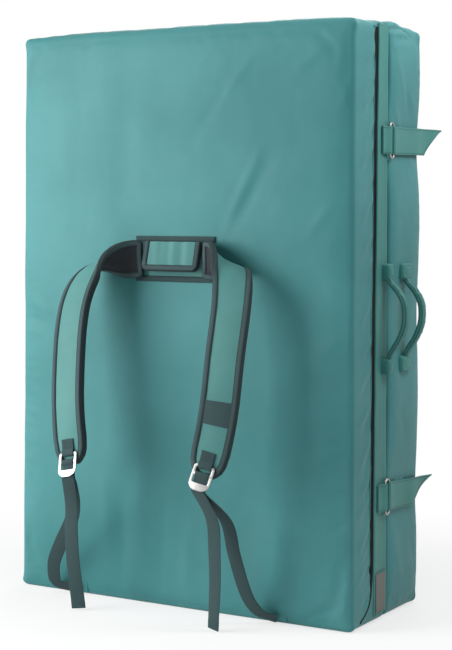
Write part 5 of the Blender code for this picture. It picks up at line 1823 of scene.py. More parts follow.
def make_yoke():
    """The sewn panel that carries the harness, with webbing along its top and bottom."""
    half = YOKE_WIDTH / 2
    low = YOKE_HEIGHT - YOKE_TALL / 2
    high = YOKE_HEIGHT + YOKE_TALL / 2
    back = FRONT_TOP_Y + PANEL_EDGE
    thickness = PANEL_EDGE + SEAT_GAP + FABRIC
    panel = face_sheet(
        "harness_panel", (-half, half), (low, high), back, thickness, strap_fabric, wave=PANEL_RIPPLE
    )
    seat(panel, "front_half", "coated_fabric", "yoke_panel")
    wide = half + YOKE_WEBBING_OVERHANG
    back = PANEL_FRONT_Y - SEAT_GAP
    front = back - WEBBING
    for label, z_ends in (("top", (high - YOKE_WEBBING, high)), ("bottom", (low, low + YOKE_WEBBING))):
        name = "harness_" + label + "_webbing"
        piece = face_sheet(name, (-wide, wide), z_ends, back, WEBBING, slate_webbing, step=0.003, marks=True)
        seat(piece, "front_half", "webbing", "yoke_" + label + "_webbing")
        for z in (z_ends[0] + PANEL_STITCH_INSET, z_ends[1] - PANEL_STITCH_INSET):
            row = [(-wide + PANEL_STITCH_INSET, front, z), (wide - PANEL_STITCH_INSET, front, z)]
            sew("front_half", dark_thread, row, [(0, -1, 0)])


def flap_half_thickness():
    return FLAP_PADDING / 2 + SEAT_GAP + BINDING_THICKNESS


def flap_frame():
    top_z = YOKE_HEIGHT + YOKE_TALL / 2 - YOKE_WEBBING - SEAT_GAP
    top = np.array([0.0, PANEL_FRONT_Y - SEAT_GAP - flap_half_thickness(), top_z])
    foot = top + np.array([0.0, -FLAP_LEAN, -FLAP_TALL])
    down = unit(foot - top)
    out = np.array([0.0, down[2], -down[1]])
    return top, down, out


# Vertical folds of the flap: (place across, width, rise)
flap_folds = (
    (-0.030, 0.007, 0.0012),
    (-0.006, 0.006, -0.0010),
    (0.004, 0.007, 0.0013),
    (0.021, 0.006, -0.0011),
    (0.033, 0.008, 0.0012),
)
FLAP_FOLD_START = 0.02
FLAP_FOLD_LEAN = 0.08
FLAP_STEP_ACROSS = 0.0028
FLAP_STEP_DOWN = 0.003
FLAP_EDGE_STEP = 0.0008
FLAP_RIM_REACH = 0.008
FLAP_RIM_SLACK = 0.0001
FLAP_RIM_SHARE = 0.86
FLAP_FULL_SHARE = 0.14
FLAP_CORNER_STEPS = 8
FLAP_STITCH_INSET = 0.0022
STITCH_LIFT = 0.0001


def make_flap_pad():
    """The padded flap sewn along its top edge, which stands in soft vertical folds."""
    top, down, out = flap_frame()
    half = FLAP_WIDTH / 2 - BINDING_THICKNESS - SEAT_GAP
    length = FLAP_TALL - BINDING_THICKNESS - SEAT_GAP
    us = spread(-half, half, FLAP_STEP_ACROSS, FLAP_EDGE_STEP)
    vs = spread(0.0, length, FLAP_STEP_DOWN, FLAP_EDGE_STEP)
    thick = FLAP_PADDING / 2
    corner = BINDING_WIDTH - SEAT_GAP

    def build(u, v, top_side):
        over = max(abs(u) - half + corner, 0.0)
        deep = max(v - length + corner, 0.0)
        if over > 0 and deep > 0:
            scale = max(over, deep) / math.hypot(over, deep)
            u = math.copysign(half - corner + over * scale, u)
            v = length - corner + deep * scale
        folds = 0.0
        for centre, width, rise in flap_folds:
            away = u - centre - (v - FLAP_FOLD_START) * FLAP_FOLD_LEAN
            folds += rise * math.exp(-((away / width) ** 2))
        middle = top + np.array([u, 0.0, 0.0]) + down * v
        inside = min(half - abs(u), length - v + FLAP_RIM_SLACK, FLAP_RIM_REACH) / FLAP_RIM_REACH
        level = thick * (FLAP_RIM_SHARE + FLAP_FULL_SHARE * inside) if top_side else -thick
        lift = folds * max(inside, 0.0) if top_side else 0.0
        return tuple(middle + out * (level + lift))

    points, faces = plate_grid((us, vs), build)
    pad = add_piece("haul_flap_pad", points, faces, strap_fabric)
    seat(pad, "yoke_flap", "coated_fabric", "yoke_flap_pad")


def flap_binding_section(near, far):
    """The flap binding's section: (distance in from the rim, height off the flap's middle)."""
    mid_width = BINDING_WIDTH / 2
    return (
        (BINDING_WIDTH, near),
        (BINDING_THICKNESS, near),
        (BINDING_THICKNESS, -near),
        (BINDING_WIDTH, -near),
        (BINDING_WIDTH, -far),
        (mid_width, -far - 0.0004),
        (0.0012, -far + 0.0001),
        (-0.0002, -near),
        (-0.0006, 0.0),
        (-0.0002, near),
        (0.0012, far - 0.0001),
        (mid_width, far + 0.0004),
        (BINDING_WIDTH - 0.0006, far),
    )


def flap_rim():
    """Places round the flap's three bound sides and the way in from each: (x, run, inward x, inward run)."""
    half = FLAP_WIDTH / 2
    corner = BINDING_WIDTH + BINDING_THICKNESS
    stations = [(-half, run, 1.0, 0.0) for run in np.linspace(0.0, FLAP_TALL - corner, 12)]
    for side in (-1, 1):
        for step in range(FLAP_CORNER_STEPS + 1):
            angle = step / FLAP_CORNER_STEPS * math.pi / 2
            if side == 1:
                angle = math.pi / 2 - angle
            x = side * (half - corner + corner * math.cos(angle))
            run = FLAP_TALL - corner + corner * math.sin(angle)
            stations.append((x, run, -side * math.cos(angle), -math.sin(angle)))
        if side == -1:
            for x in np.linspace(-half + corner, half - corner, 22)[1:-1]:
                stations.append((x, FLAP_TALL, 0.0, -1.0))
    stations += [(half, run, -1.0, 0.0) for run in np.linspace(FLAP_TALL - corner, 0.0, 12)[1:]]
    return stations


def make_flap_binding():
    """The tape folded over the flap's three free sides, and its stitches."""
    top, down, out = flap_frame()
    near = FLAP_PADDING / 2 + SEAT_GAP
    far = near + BINDING_THICKNESS
    section = flap_binding_section(near, far)
    loops = []
    along_marks = []
    across_marks = []
    run_total = 0.0
    seam = []
    last = None
    for x, run, in_x, in_run in flap_rim():
        base = top + np.array([x, 0.0, 0.0]) + down * run
        run_total += 0.0 if last is None else float(np.linalg.norm(base - last))
        last = base
        inward = np.array([in_x, 0.0, 0.0]) + down * in_run
        loops.append([tuple(base + inward * across + out * up) for across, up in section])
        along_marks += [run_total] * len(section)
        across_marks += [across for across, _ in section]
        seam.append(base + inward * (BINDING_WIDTH - FLAP_STITCH_INSET) + out * (far + STITCH_LIFT))
    points, faces = loft(loops)
    binding = add_piece("haul_flap_binding", points, faces, slate_binding)
    mark_run(binding, along_marks, across_marks)
    seat(binding, "yoke_flap", "webbing", "yoke_flap_binding")
    sew("yoke_flap", dark_thread, seam, [out])


# Shoulder straps


def shoulder_root_y():
    return WEBBING_FRONT_Y - SEAT_GAP


def shoulder_edge(shares):
    rows = []
    for across, stand_off, drop in shares:
        rows.append(
            (
                SHOULDER_ROOT + across * SHOULDER_SPREAD,
                shoulder_root_y() - stand_off * SHOULDER_STAND_OFF,
                YOKE_HEIGHT - drop * SHOULDER_DROP,
            )
        )
    points = smooth_path(rows, 41)
    for _ in range(6):
        points = np.vstack([points[:1], (points[:-2] + 2 * points[1:-1] + points[2:]) / 4, points[-1:]])
    return smooth_path(points, 161)


def shoulder_frames():
    """Middle, width, outward and along directions at even steps down the strap, and the length run so far."""
    upper = shoulder_edge(upper_edge_shares)
    lower = shoulder_edge(lower_edge_shares)
    middle = (upper + lower) / 2
    run = run_lengths(middle)
    frames = []
    for k in range(len(middle)):
        along = unit(middle[min(k + 2, len(middle) - 1)] - middle[max(k - 2, 0)])
        across = lower[k] - upper[k]
        across = unit(across - along * np.dot(across, along))
        frames.append((middle[k], across, np.cross(along, across), along))
    return frames, run


strap_frames, strap_run = shoulder_frames()


def shoulder_point(at, across_by, out_by):
    """A point on the strap: at is a share of its length, across_by and out_by are metres."""
    place = at * strap_run[-1]
    k = min(int(np.searchsorted(strap_run, place, side="right")) - 1, len(strap_run) - 2)
    k = max(k, 0)
    t = (place - strap_run[k]) / (strap_run[k + 1] - strap_run[k])
    middle, across, outward = (strap_frames[k][i] * (1 - t) + strap_frames[k + 1][i] * t for i in range(3))
    bulge = FOLD_LIFT * math.exp(-(((at - 0.19) / 0.085) ** 2))
    crest = bulge * (1 - (2 * across_by / SHOULDER_WIDTH) ** 2)
    rise = np.array([0.0, 0.0, max(crest, 0.0)])
    return middle + unit(across) * across_by + unit(outward) * out_by + rise


def shoulder_swell(at):
    return SHOULDER_PADDING / 2 * follow(thickness_shares, min(max(at, 0.0), 1.0))


def shoulder_plan(at):
    """Half the strap's width at a share of its length, with a rounded tip."""
    return SHOULDER_WIDTH / 2 * follow(plan_shares, at)


# Cross folds of a shoulder strap: (share of its length, slant, width, rise)
strap_crease_rows = (
    (0.150, 0.6, 0.011, 0.0010),
    (0.185, -0.5, 0.010, -0.0009),
    (0.225, 0.4, 0.010, 0.0009),
    (0.285, 0.3, 0.009, 0.0006),
    (0.345, -0.3, 0.008, -0.0005),
    (0.430, 0.5, 0.008, 0.0006),
    (0.462, -0.3, 0.007, -0.0006),
    (0.500, 0.6, 0.008, 0.0005),
    (0.565, 0.2, 0.007, 0.0006),
    (0.585, -0.4, 0.007, -0.0005),
    (0.760, 0.3, 0.008, 0.0004),
)
STRAP_SLOPE_REACH = 0.004
STRAP_LEAST_EDGE = 0.004
STRAP_CROWN = 0.0016
FOAM_SHARE = 0.96
FOAM_EDGE_GAP = 0.001


def strap_creases(at, spot):
    """Small cross folds where the strap bends, and a few faint ones down its length."""
    total = 0.0
    for place, slant, width, rise in strap_crease_rows:
        away = (at - place) * strap_run[-1] - slant * spot
        total += rise * math.exp(-((away / width) ** 2))
    return total


def strap_layer(side, name, low, high, look, edge_gap, ends=None, crown=0.0, creased=False, columns=13):
    """One layer of the strap. low and high are (share of half the padding, metres beyond it)."""
    first, final = ends or (0.0, 1.0)
    trim = edge_gap / strap_run[-1]
    stations = [s for s in np.linspace(0, 1, 121)] + [row[0] for row in plan_shares]
    stations = sorted({round(min(max(s, first + trim), final - trim), 6) for s in stations})
    top_rows = []
    low_rows = []
    for at in stations:
        rim = shoulder_plan(at)
        after = shoulder_plan(min(at + STRAP_SLOPE_REACH, 1.0))
        before = shoulder_plan(max(at - STRAP_SLOPE_REACH, 0.0))
        slope = (after - before) / (STRAP_SLOPE_REACH * 2 * strap_run[-1])
        edge = max(rim - edge_gap * math.hypot(1.0, slope), STRAP_LEAST_EDGE)
        if ends:
            edge = rim - BINDING_WIDTH + edge_gap
        spots = [edge * math.sin(math.pi / 2 * (2 * k / (columns - 1) - 1)) for k in range(columns)]
        top = []
        bottom = []
        for spot in spots:
            open_half = max(rim - BINDING_WIDTH + 0.001, STRAP_LEAST_EDGE)
            free = max(1 - (spot / open_half) ** 2, 0.0)
            extra = crown * free
            if creased:
                extra += strap_creases(at, spot) * min(free * 2, 1.0)
            swell = shoulder_swell(at)
            under = extra if low[0] > 0 else 0
            top.append(shoulder_point(at, spot, swell * high[0] + high[1] + extra))
            bottom.append(shoulder_point(at, spot, swell * low[0] + low[1] + under))
        top_rows.append(top)
        low_rows.append(bottom)
    loops = [top + bottom[::-1] for top, bottom in zip(top_rows, low_rows)]
    points, faces = loft(loops)
    return add_piece(name, mirrored(points, side), faces, look)


def shoulder_inner():
    return SHOULDER_GAP + SHOULDER_LAYER + SHOULDER_GAP


def make_shoulder_binding(side, name, body):
    """A tape folded over the strap's edge all the way round, full in the middle of its width."""
    near = shoulder_inner() - 0.0003
    far = shoulder_inner() + BINDING_THICKNESS
    mid = BINDING_WIDTH * 0.5
    section = (
        (BINDING_WIDTH, 1, near),
        (BINDING_THICKNESS, 1, near),
        (BINDING_THICKNESS, -1, -near),
        (BINDING_WIDTH, -1, -near),
        (BINDING_WIDTH, -1, -far + 0.0005),
        (BINDING_WIDTH * 0.8, -1, -far),
        (mid, -1, -far - 0.0006),
        (0.0018, -1, -far),
        (0.0002, -1, -far + 0.0012),
        (-0.0004, 0, 0.0),
        (0.0002, 1, far - 0.0012),
        (0.0018, 1, far),
        (mid, 1, far + 0.0006),
        (BINDING_WIDTH * 0.8, 1, far),
        (BINDING_WIDTH, 1, far - 0.0005),
    )
    plan_places = {round(row[0], 6) for row in plan_shares}
    stations = sorted({round(s, 6) for s in np.linspace(0.03, 0.93, 100)} | plan_places)
    fine = sorted(set(stations) | {round(s, 6) for s in np.linspace(0.935, 1.0, 14)})
    rim = [(at * strap_run[-1], shoulder_plan(at)) for at in fine]
    root_half = rim[0][1]
    tip_half = rim[-1][1]
    steps = 5
    rim += [(strap_run[-1], tip_half * (1 - 2 * k / steps)) for k in range(1, steps)]
    rim += [(at * strap_run[-1], -shoulder_plan(at)) for at in fine[::-1]]
    rim += [(0.0, -root_half * (1 - 2 * k / steps)) for k in range(1, steps)]
    rim = np.array(rim)
    loops = []
    along_marks = []
    across_marks = []
    seam = []
    seam_out = []
    run_total = 0.0
    for k in range(len(rim)):
        before = rim[k] - rim[k - 1]
        after = rim[(k + 1) % len(rim)] - rim[k]
        run_total += float(np.linalg.norm(before))
        turn = unit(unit(before) + unit(after))
        inward = np.array([turn[1], -turn[0]])
        loop = []
        for inset, padding_share, beyond in section:
            place = rim[k] + inward * inset
            at = place[0] / strap_run[-1]
            loop.append(shoulder_point(at, place[1], shoulder_swell(at) * padding_share + beyond))
            along_marks.append(run_total)
            across_marks.append(inset)
        loops.append(loop)
        stitched = rim[k] + inward * (BINDING_WIDTH - 0.0020)
        at = stitched[0] / strap_run[-1]
        seam.append(shoulder_point(at, stitched[1], shoulder_swell(at) + far + 0.0001))
        seam_out.append(shoulder_point(at, stitched[1], 0.02) - shoulder_point(at, stitched[1], 0.0))
    points, faces = loft(loops, closed=True)
    piece = add_piece(name, mirrored(points, side), faces, slate_binding)
    mark_run(piece, along_marks, across_marks)
    seat(piece, body, "webbing", body + "_binding")
    half_way = len(fine)
    for part in (slice(6, half_way - 2), slice(half_way + steps + 1, len(rim) - steps - 6)):
        row = mirrored(seam[part], side)
        sew(body, dark_thread, row, mirrored(seam_out[part], side))


def make_shoulder(side):
    label = "left" if side < 0 else "right"
    body = label + "_shoulder"
    edge = BINDING_THICKNESS + SHOULDER_GAP
    layer = SHOULDER_GAP + SHOULDER_LAYER
    low = (-FOAM_SHARE, 0.0)
    high = (FOAM_SHARE, 0.0)
    foam = strap_layer(side, label + "_strap_foam", low, high, firm_foam, edge + FOAM_EDGE_GAP, columns=7)
    seat(foam, body, "firm_foam", body + "_foam")
    cover = strap_layer(
        side, label + "_strap_cover", (1, SHOULDER_GAP), (1, layer), strap_fabric, edge,
        crown=STRAP_CROWN, creased=True,
    )
    seat(cover, body, "coated_fabric", body + "_cover")
    lining = strap_layer(side, label + "_strap_lining", (-1, -layer), (-1, -SHOULDER_GAP), lining_mesh, edge)
    seat(lining, body, "lining", body + "_lining")
    make_shoulder_binding(side, label + "_strap_binding", body)
    if side > 0:
        ends = (1 - (BAND_FROM_TIP + BAND_TALL) / strap_run[-1], 1 - BAND_FROM_TIP / strap_run[-1])
        low = (1, layer + SEAT_GAP)
        high = (1, layer + SEAT_GAP + BAND_THICKNESS)
        band = strap_layer(
            side, "right_bare_band", low, high, slate_webbing, SEAT_GAP * 3, ends, STRAP_CROWN, True
        )
        points = read_points(band)
        mark_run(band, points[:, 2], points[:, 0])
        seat(band, body, "webbing", "right_shoulder_band")


# Locks and adjusters


def lock_frame():
    """Axis of the lock's upper bar on the right strap, and the lock's across, down and outward ways."""
    at = 1 - LOCK_ABOVE_TIP / strap_run[-1]
    level = shoulder_swell(at) + shoulder_inner() + WEBBING + BAR_CLEARANCE + LOCK_PLATE / 2
    bar = shoulder_point(at, 0.0, level)
    _, across, outward, along = strap_frames[-8]
    tilt = math.radians(LOCK_TILT)
    down = unit(along * math.cos(tilt) + outward * math.sin(tilt))
    across = unit(across - down * np.dot(across, down))
    return bar, across, down, np.cross(down, across), along, outward


lock_bar, lock_across, lock_down, lock_out, lock_along, lock_outward = lock_frame()


def lock_place(down_by, out_by):
    return lock_bar + lock_down * down_by + lock_out * out_by


def arc(middle, radius, start, end, steps=8):
    """Points on an arc in the plane of (along, out), both angles in degrees."""
    found = []
    for step in range(steps + 1):
        angle = math.radians(start + step / steps * (end - start))
        found.append((middle[0] + radius * math.cos(angle), middle[1] + radius * math.sin(angle)))
    return found


BAR_TACK_RISE = 0.0006


def make_lock_tab(side, label):
    """Webbing folded round the lock's upper bar, bar-tacked where its ends are sewn on the strap."""
    radius = LOCK_PLATE / 2 + BAR_CLEARANCE + WEBBING / 2
    pinched = -radius + WEBBING + SEAT_GAP
    path = [(-LOCK_TAB_LENGTH, -radius), (-LOCK_TAB_LENGTH / 2, -radius), (0.0, -radius)]
    path += arc((LOCK_BAR / 2, 0.0), radius, -90, 90)
    path += [(-LOCK_BAR, radius)]
    start = -LOCK_BAR - 2 * radius
    ridges = 7
    for k in range(ridges * 4 + 1):
        run = start + (-LOCK_TAB_LENGTH - start) * k / (ridges * 4)
        path.append((run, pinched + BAR_TACK_RISE * math.sin(k * math.pi / 2 + math.pi / 4)))
    places = [lock_bar + lock_along * down_by + lock_outward * out_by for down_by, out_by in path]
    edges = [(-WEBBING_WIDTH / 2, WEBBING_WIDTH / 2)]
    piece = tape(label + "_lock_tab_webbing", places, [lock_across], edges, WEBBING, slate_webbing, side)
    seat(piece, label + "_shoulder", "webbing", label + "_lock_tab")


LOCK_ROUNDING = 0.0007
LOCK_WINDOW_CORNER = 0.0022


def cut_windows(piece, windows):
    cutters = []
    for name, points, faces in windows:
        cutter = add_piece(name, points, faces, cast_metal)
        modifier = piece.modifiers.new(name, "BOOLEAN")
        modifier.operation = "DIFFERENCE"
        modifier.solver = "EXACT"
        modifier.object = cutter
        cutters.append(cutter)
    rounding = piece.modifiers.new("rounding", "BEVEL")
    rounding.width = LOCK_ROUNDING
    rounding.segments = 3
    rounding.limit_method = "ANGLE"
    rounding.angle_limit = math.radians(35)
    keep_result(piece)
    for cutter in cutters:
        bpy.data.objects.remove(cutter, do_unlink=True)


def window_outline(half, near, far):
    """A window with rounded corners, from near to far down the lock."""
    corner = LOCK_WINDOW_CORNER
    centres = (
        (half - corner, far - corner, 0),
        (corner - half, far - corner, 90),
        (corner - half, near + corner, 180),
        (half - corner, near + corner, 270),
    )
    outline = []
    for centre_x, centre_run, start in centres:
        for step in range(5):
            angle = math.radians(start + step * 22.5)
            outline.append((centre_x + corner * math.cos(angle), centre_run + corner * math.sin(angle)))
    return outline


def make_lock(side, label):
    """A cast plate with two windows. The webbing runs over the bar between them."""
    top = -LOCK_BAR / 2
    loops = []
    shares = smooth_path([(a, b) for a, b in lock_outline_shares], 30)
    for share, width_share in shares:
        run = top + share * LOCK_HEIGHT
        beyond = max(run - LOCK_THUMB_START, 0.0) / (LOCK_HEIGHT + top - LOCK_THUMB_START)
        lift = LOCK_THUMB_LIFT * beyond**2
        half = LOCK_WIDTH / 2 * min(width_share, 1.0)
        thick = LOCK_PLATE / 2
        loop = []
        for x, w in ((-half, -1), (-half, 1), (half, 1), (half, -1)):
            loop.append(tuple(lock_bar + lock_across * x + lock_down * run + lock_out * (lift + w * thick)))
        loops.append(loop)
    points, faces = loft(loops)
    lock = add_piece(label + "_cast_lock", mirrored(points, side), faces, cast_metal, 35)
    windows = []
    half = LOCK_WINDOW_WIDTH / 2
    spans = (
        ("upper", LOCK_BAR / 2, LOCK_MIDDLE_BAR - LOCK_BAR / 2),
        ("lower", LOCK_MIDDLE_BAR + LOCK_BAR / 2, LOCK_THUMB_START),
    )
    for name, near, far in spans:
        loops = []
        outline = window_outline(half, near, far)
        for w in (-1, 1):
            off = lock_out * (w * LOCK_PLATE)
            loops.append([tuple(lock_bar + lock_across * x + lock_down * run + off) for x, run in outline])
        points, faces = loft(loops)
        windows.append((label + "_" + name + "_window", mirrored(points, side), faces))
    cut_windows(lock, windows)
    lock.data.shade_smooth()
    lock.data.set_sharp_from_angle(angle=math.radians(40))
    seat(lock, label + "_lock", "cast_metal", label + "_ladder_lock")


TAIL_FOLD = 0.016
WEBBING_BOW = 0.0005


def bar_reach():
    return LOCK_PLATE / 2 + BAR_CLEARANCE + WEBBING / 2


def make_tail(side, label):
    """The free end: over the lock's middle bar, down through the lower window and on to the floor."""
    reach = bar_reach()
    over = LOCK_BAR / 2 + BAR_CLEARANCE + WEBBING / 2
    centre = LOCK_MIDDLE_BAR
    path = [
        (centre + BAR_CLEARANCE, -reach),
        (centre - over * 0.62, -reach),
        (centre - over, -reach * 0.45),
        (centre - over, reach * 0.45),
        (centre - over * 0.62, reach),
        (centre + over * 0.55, reach),
        (centre + over * 1.25, reach * 0.45),
        (centre + over * 2.1, -reach * 0.6),
        (LOCK_THUMB_START - LOCK_BAR / 2, -reach),
        (LOCK_THUMB_START + LOCK_BAR, -reach),
        (LOCK_HEIGHT - LOCK_BAR / 2, -reach * 1.2),
    ]
    places = [lock_place(*spot) for spot in path]
    count = len(places)
    rows = []
    for x, y, z in tail_shares:
        height = TAIL_FOOT + (TAIL_HEIGHT - TAIL_FOOT) * z
        rows.append((TAIL_SPREAD * x, FRONT_WALL_Y - TAIL_STAND_OFF * y, height))
    hang = smooth_path([places[-1]] + rows[1:], 40)
    hang_run = float(np.sum(np.linalg.norm(np.diff(hang, axis=0), axis=1)))
    places += list(hang[1:])
    turned = np.array([1.0, -TAIL_TURN, 0.0])
    acrosses = []
    for k in range(len(places)):
        share = max(k - count, 0) / (len(places) - count)
        acrosses.append(lock_across * (1 - share) + turned * share)
    places = refined(places, 1)
    acrosses = refined(acrosses, 1)
    run = run_lengths(places)
    swell = [1.0 + 0.9 * min(max((place - run[-1] + TAIL_FOLD) / 0.001, 0.0), 1.0) for place in run]
    edges = [(-WEBBING_WIDTH / 2, WEBBING_WIDTH / 2)]
    piece = tape(
        label + "_tail", places, acrosses, edges, WEBBING, slate_webbing, side, bow=WEBBING_BOW, swell=swell
    )
    bend = []
    for hanging in (hang_run, hang_run - TAIL_BEND):
        bend.append(np.array(places[np.searchsorted(run, run[-1] - hanging)]) * (side, 1, 1))
    tuple(bend[0])
    tuple(bend[1])
    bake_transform(piece)
    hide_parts(label + "_tail_webbing")


def make_standing(side, label, shares, turn_up):
    """From the tab at the foot of the face, up behind the tail, to the back of the lock's middle bar."""
    reach = bar_reach()
    behind = reach + WEBBING + BAR_CLEARANCE
    places = [
        lock_place(LOCK_MIDDLE_BAR + BAR_CLEARANCE + SEAT_GAP + WEBBING, -reach - WEBBING / 4),
        lock_place((LOCK_MIDDLE_BAR + LOCK_THUMB_START) / 2, -behind),
        lock_place(LOCK_THUMB_START + LOCK_BAR, -behind - WEBBING / 2),
        lock_place(LOCK_HEIGHT - LOCK_BAR / 2, -behind - WEBBING * 1.5),
    ]
    count = len(places)
    rows = []
    for x, y, z in shares:
        height = STANDING_FOOT + (STANDING_HEIGHT - STANDING_FOOT) * z
        rows.append((ANCHOR_SPREAD * x, FRONT_WALL_Y - STANDING_STAND_OFF * y, height))
    path = smooth_path([places[-1]] + rows[1:], 44)
    places += list(path[1:])
    turned = np.array([1.0, 0.0, turn_up])
    acrosses = []
    for k in range(len(places)):
        share = max(k - count, 0) / (len(places) - count)
        acrosses.append(lock_across * (1 - share) + turned * share)
    half = WEBBING_WIDTH / 2
    name = label + "_adjuster"
    piece = tape(name, places, acrosses, [(-half, half)], WEBBING, slate_webbing, side, bow=0.0004)
    start = np.array(places[-1])
    end = np.array(places[2])
    start[0] *= side
    end[0] *= side
    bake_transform(piece)
    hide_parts(label + "_standing_webbing")


def make_anchor_tab(side, label):
    """A short tab that follows the rounded foot of the face."""
    places = []
    for step in range(9):
        angle = step / 8 * math.pi / 2 * 0.86
        inset = EDGE_RADIUS * (1 - math.sin(math.pi / 2 - angle))
        depth = HALF_THICKNESS - EDGE_RADIUS + EDGE_RADIUS * math.cos(math.pi / 2 - angle)
        lift = SEAT_GAP + WEBBING / 2
        z = max(inset + lift * 0.2, ANCHOR_TAB_FOOT)
        places.append((ANCHOR_SPREAD, half_y("front", depth + lift), z))
    spots = {(round(y, 5), round(z, 5)) for _, y, z in places if z > ANCHOR_TAB_FOOT}
    spots = sorted(spots, key=lambda spot: spot[1])
    places = [(ANCHOR_SPREAD, y, z) for y, z in spots]
    crown = face_place("front", ANCHOR_SPREAD, ANCHOR_TAB_TOP, 0.0014)
    places.append(crown)
    half = ANCHOR_TAB_WIDTH / 2
    piece = tape(label + "_foot_tab", places, [(1, 0, 0)], [(-half, half)], WEBBING, coated_fabric, side)
    seat(piece, "front_half", "webbing", label + "_anchor_tab")


# Carry handles


handle_section_shares = (
    (-1.0, 0.0),
    (-0.95, 0.45),
    (-0.90, 0.60),
    (-0.84, 0.53),
    (-0.77, 0.60),
    (-0.70, 0.93),
    (-0.58, 0.99),
    (-0.46, 0.99),
    (-0.40, 0.80),
    (-0.34, 0.99),
    (-0.15, 1.10),
    (0.0, 1.12),
    (0.15, 1.10),
    (0.34, 0.99),
    (0.40, 0.80),
    (0.46, 0.99),
    (0.58, 0.99),
    (0.80, 0.80),
    (0.95, 0.45),
    (1.0, 0.0),
    (0.95, -0.45),
    (0.80, -0.80),
    (0.45, -1.0),
    (0.0, -1.0),
    (-0.45, -1.0),
    (-0.80, -0.80),
    (-0.95, -0.45),
)


# The rows of the section that take painted shade, in the grooves where its seams sink in
handle_groove_shade_shares = ((-0.84, 0.53), (-0.77, 0.60), (-0.40, 0.80), (0.40, 0.80))


def make_handle(half):
    """A tube of fabric, topstitched down both sides of its middle, with its ends under two sewn pads."""
    front = half == "front"
    y = FRONT_WALL_Y + (FRONT_HANDLE_FROM_FRONT if front else REAR_HANDLE_FROM_FRONT + HALVES_GAP)
    under = SEAT_GAP + FABRIC + SEAT_GAP if front else SEAT_GAP
    base = closed_wall_x(HANDLE_HEIGHT + HANDLE_SPAN / 2) + under
    top = HANDLE_HEIGHT + HANDLE_SPAN / 2
    smooth = smooth_path([(a, b) for a, b in handle_bulge_shares], 81)
    loops = []
    rows = {-0.15: [], 0.58: []}
    row_out = []
    lifted = base + HANDLE_END_LIFT
    spine = np.array([(lifted + HANDLE_REACH * bulge, top - HANDLE_SPAN * share) for share, bulge in smooth])
    for k, (share, _) in enumerate(smooth):
        swell = follow(handle_swell_shares, share)
        along = unit(spine[min(k + 1, len(spine) - 1)] - spine[max(k - 1, 0)])
        along = np.array([along[0], 0.0, along[1]])
        out = np.array([-along[2], 0.0, along[0]])
        pucker = 0.05 * math.sin(share * 95) + 0.04 * math.sin(share * 57 + 1)
        loop = []
        for across_share, out_share in handle_section_shares:
            spot = np.array([spine[k][0], y, spine[k][1]])
            spot = spot + out * ((out_share + pucker * (abs(out_share) > 0.9)) * swell * HANDLE_THICKNESS / 2)
            spot[1] += across_share * swell * HANDLE_WIDTH / 2
            loop.append(tuple(spot))
            if across_share in rows and out_share > 0:
                rows[across_share].append(spot)
        row_out.append(out)
        loops.append(loop)
    points, faces = loft(loops)
    piece = add_piece(half + "_fabric_handle", points, faces, flap_fabric)
    # Painted shade in the handle's seam grooves
    seam = [1.0 if row in handle_groove_shade_shares else 0.0 for row in handle_section_shares]
    mark_shade(piece, seam * len(loops))
    seat(piece, half + "_handle", "coated_fabric", half + "_carry_handle")
    for row in rows.values():
        sew(half + "_handle", teal_thread, row[7:-7], row_out[7:-7])
    width = FRONT_PATCH_WIDTH if front else REAR_PATCH_WIDTH
    for name, direction in (("top", 1), ("bottom", -1)):
        near = HANDLE_HEIGHT + direction * (HANDLE_SPAN / 2 + 0.0005)
        far = near + direction * HANDLE_PATCH_TALL
        make_handle_patch(half, name, y, width, sorted((near, far)), under)


# A handle pad from its rim to its top: (share of its half width, share of its rise)
handle_pad_shares = (
    (1.0, 0.0),
    (1.0, 0.28),
    (0.985, 0.55),
    (0.95, 0.74),
    (0.90, 0.87),
    (0.83, 0.95),
    (0.72, 0.99),
    (0.62, 0.94),
    (0.52, 1.0),
    (0.30, 1.03),
    (0.10, 1.04),
)
HANDLE_PAD_SUNK = 0.0012
HANDLE_PAD_FULLER = 0.0008
HANDLE_BOX_SHARE = 0.64


def make_handle_patch(half, name, y, width, z_ends, under):
    """A sewn pad over the handle's end, swelling to a rounded top, with a box of stitches."""
    low, high = z_ends
    middle = (low + high) / 2
    base = closed_wall_x(HANDLE_HEIGHT + HANDLE_SPAN / 2) + under - HANDLE_PAD_SUNK
    loops = []
    for reach_share, rise_share in handle_pad_shares:
        y_half = width / 2 * reach_share
        z_half = (high - low) / 2 * reach_share
        x = base + (HANDLE_PATCH_RISE + HANDLE_PAD_FULLER) * rise_share
        corner = min(0.004, y_half / 2, z_half / 2)
        loop = []
        for centre_y, centre_z, start in ((1, 1, 0), (-1, 1, 90), (-1, -1, 180), (1, -1, 270)):
            for step in range(4):
                angle = math.radians(start + step * 30)
                loop.append(
                    (
                        x,
                        y + centre_y * (y_half - corner) + corner * math.cos(angle),
                        middle + centre_z * (z_half - corner) + corner * math.sin(angle),
                    )
                )
        loops.append(loop)
    points, faces = loft(loops)
    piece = add_piece(half + "_handle_" + name + "_pad", points, faces, flap_fabric)
    seat(piece, half + "_half", "coated_fabric", half + "_handle_" + name + "_patch")
    x = base + HANDLE_PATCH_RISE * 0.96
    y_half = width / 2 * HANDLE_BOX_SHARE
    z_half = (high - low) / 2 * HANDLE_BOX_SHARE
    corners = ((-1, -1), (1, -1), (1, 1), (-1, 1), (-1, -1))
    box = [(x, y + y_side * y_half, middle + z_side * z_half) for y_side, z_side in corners]
    for start, end in zip(box[:-1], box[1:]):
        sew(half + "_half", dark_thread, [start, end], [(1, 0, 0)], STITCH_PITCH * 0.8)


# Closures


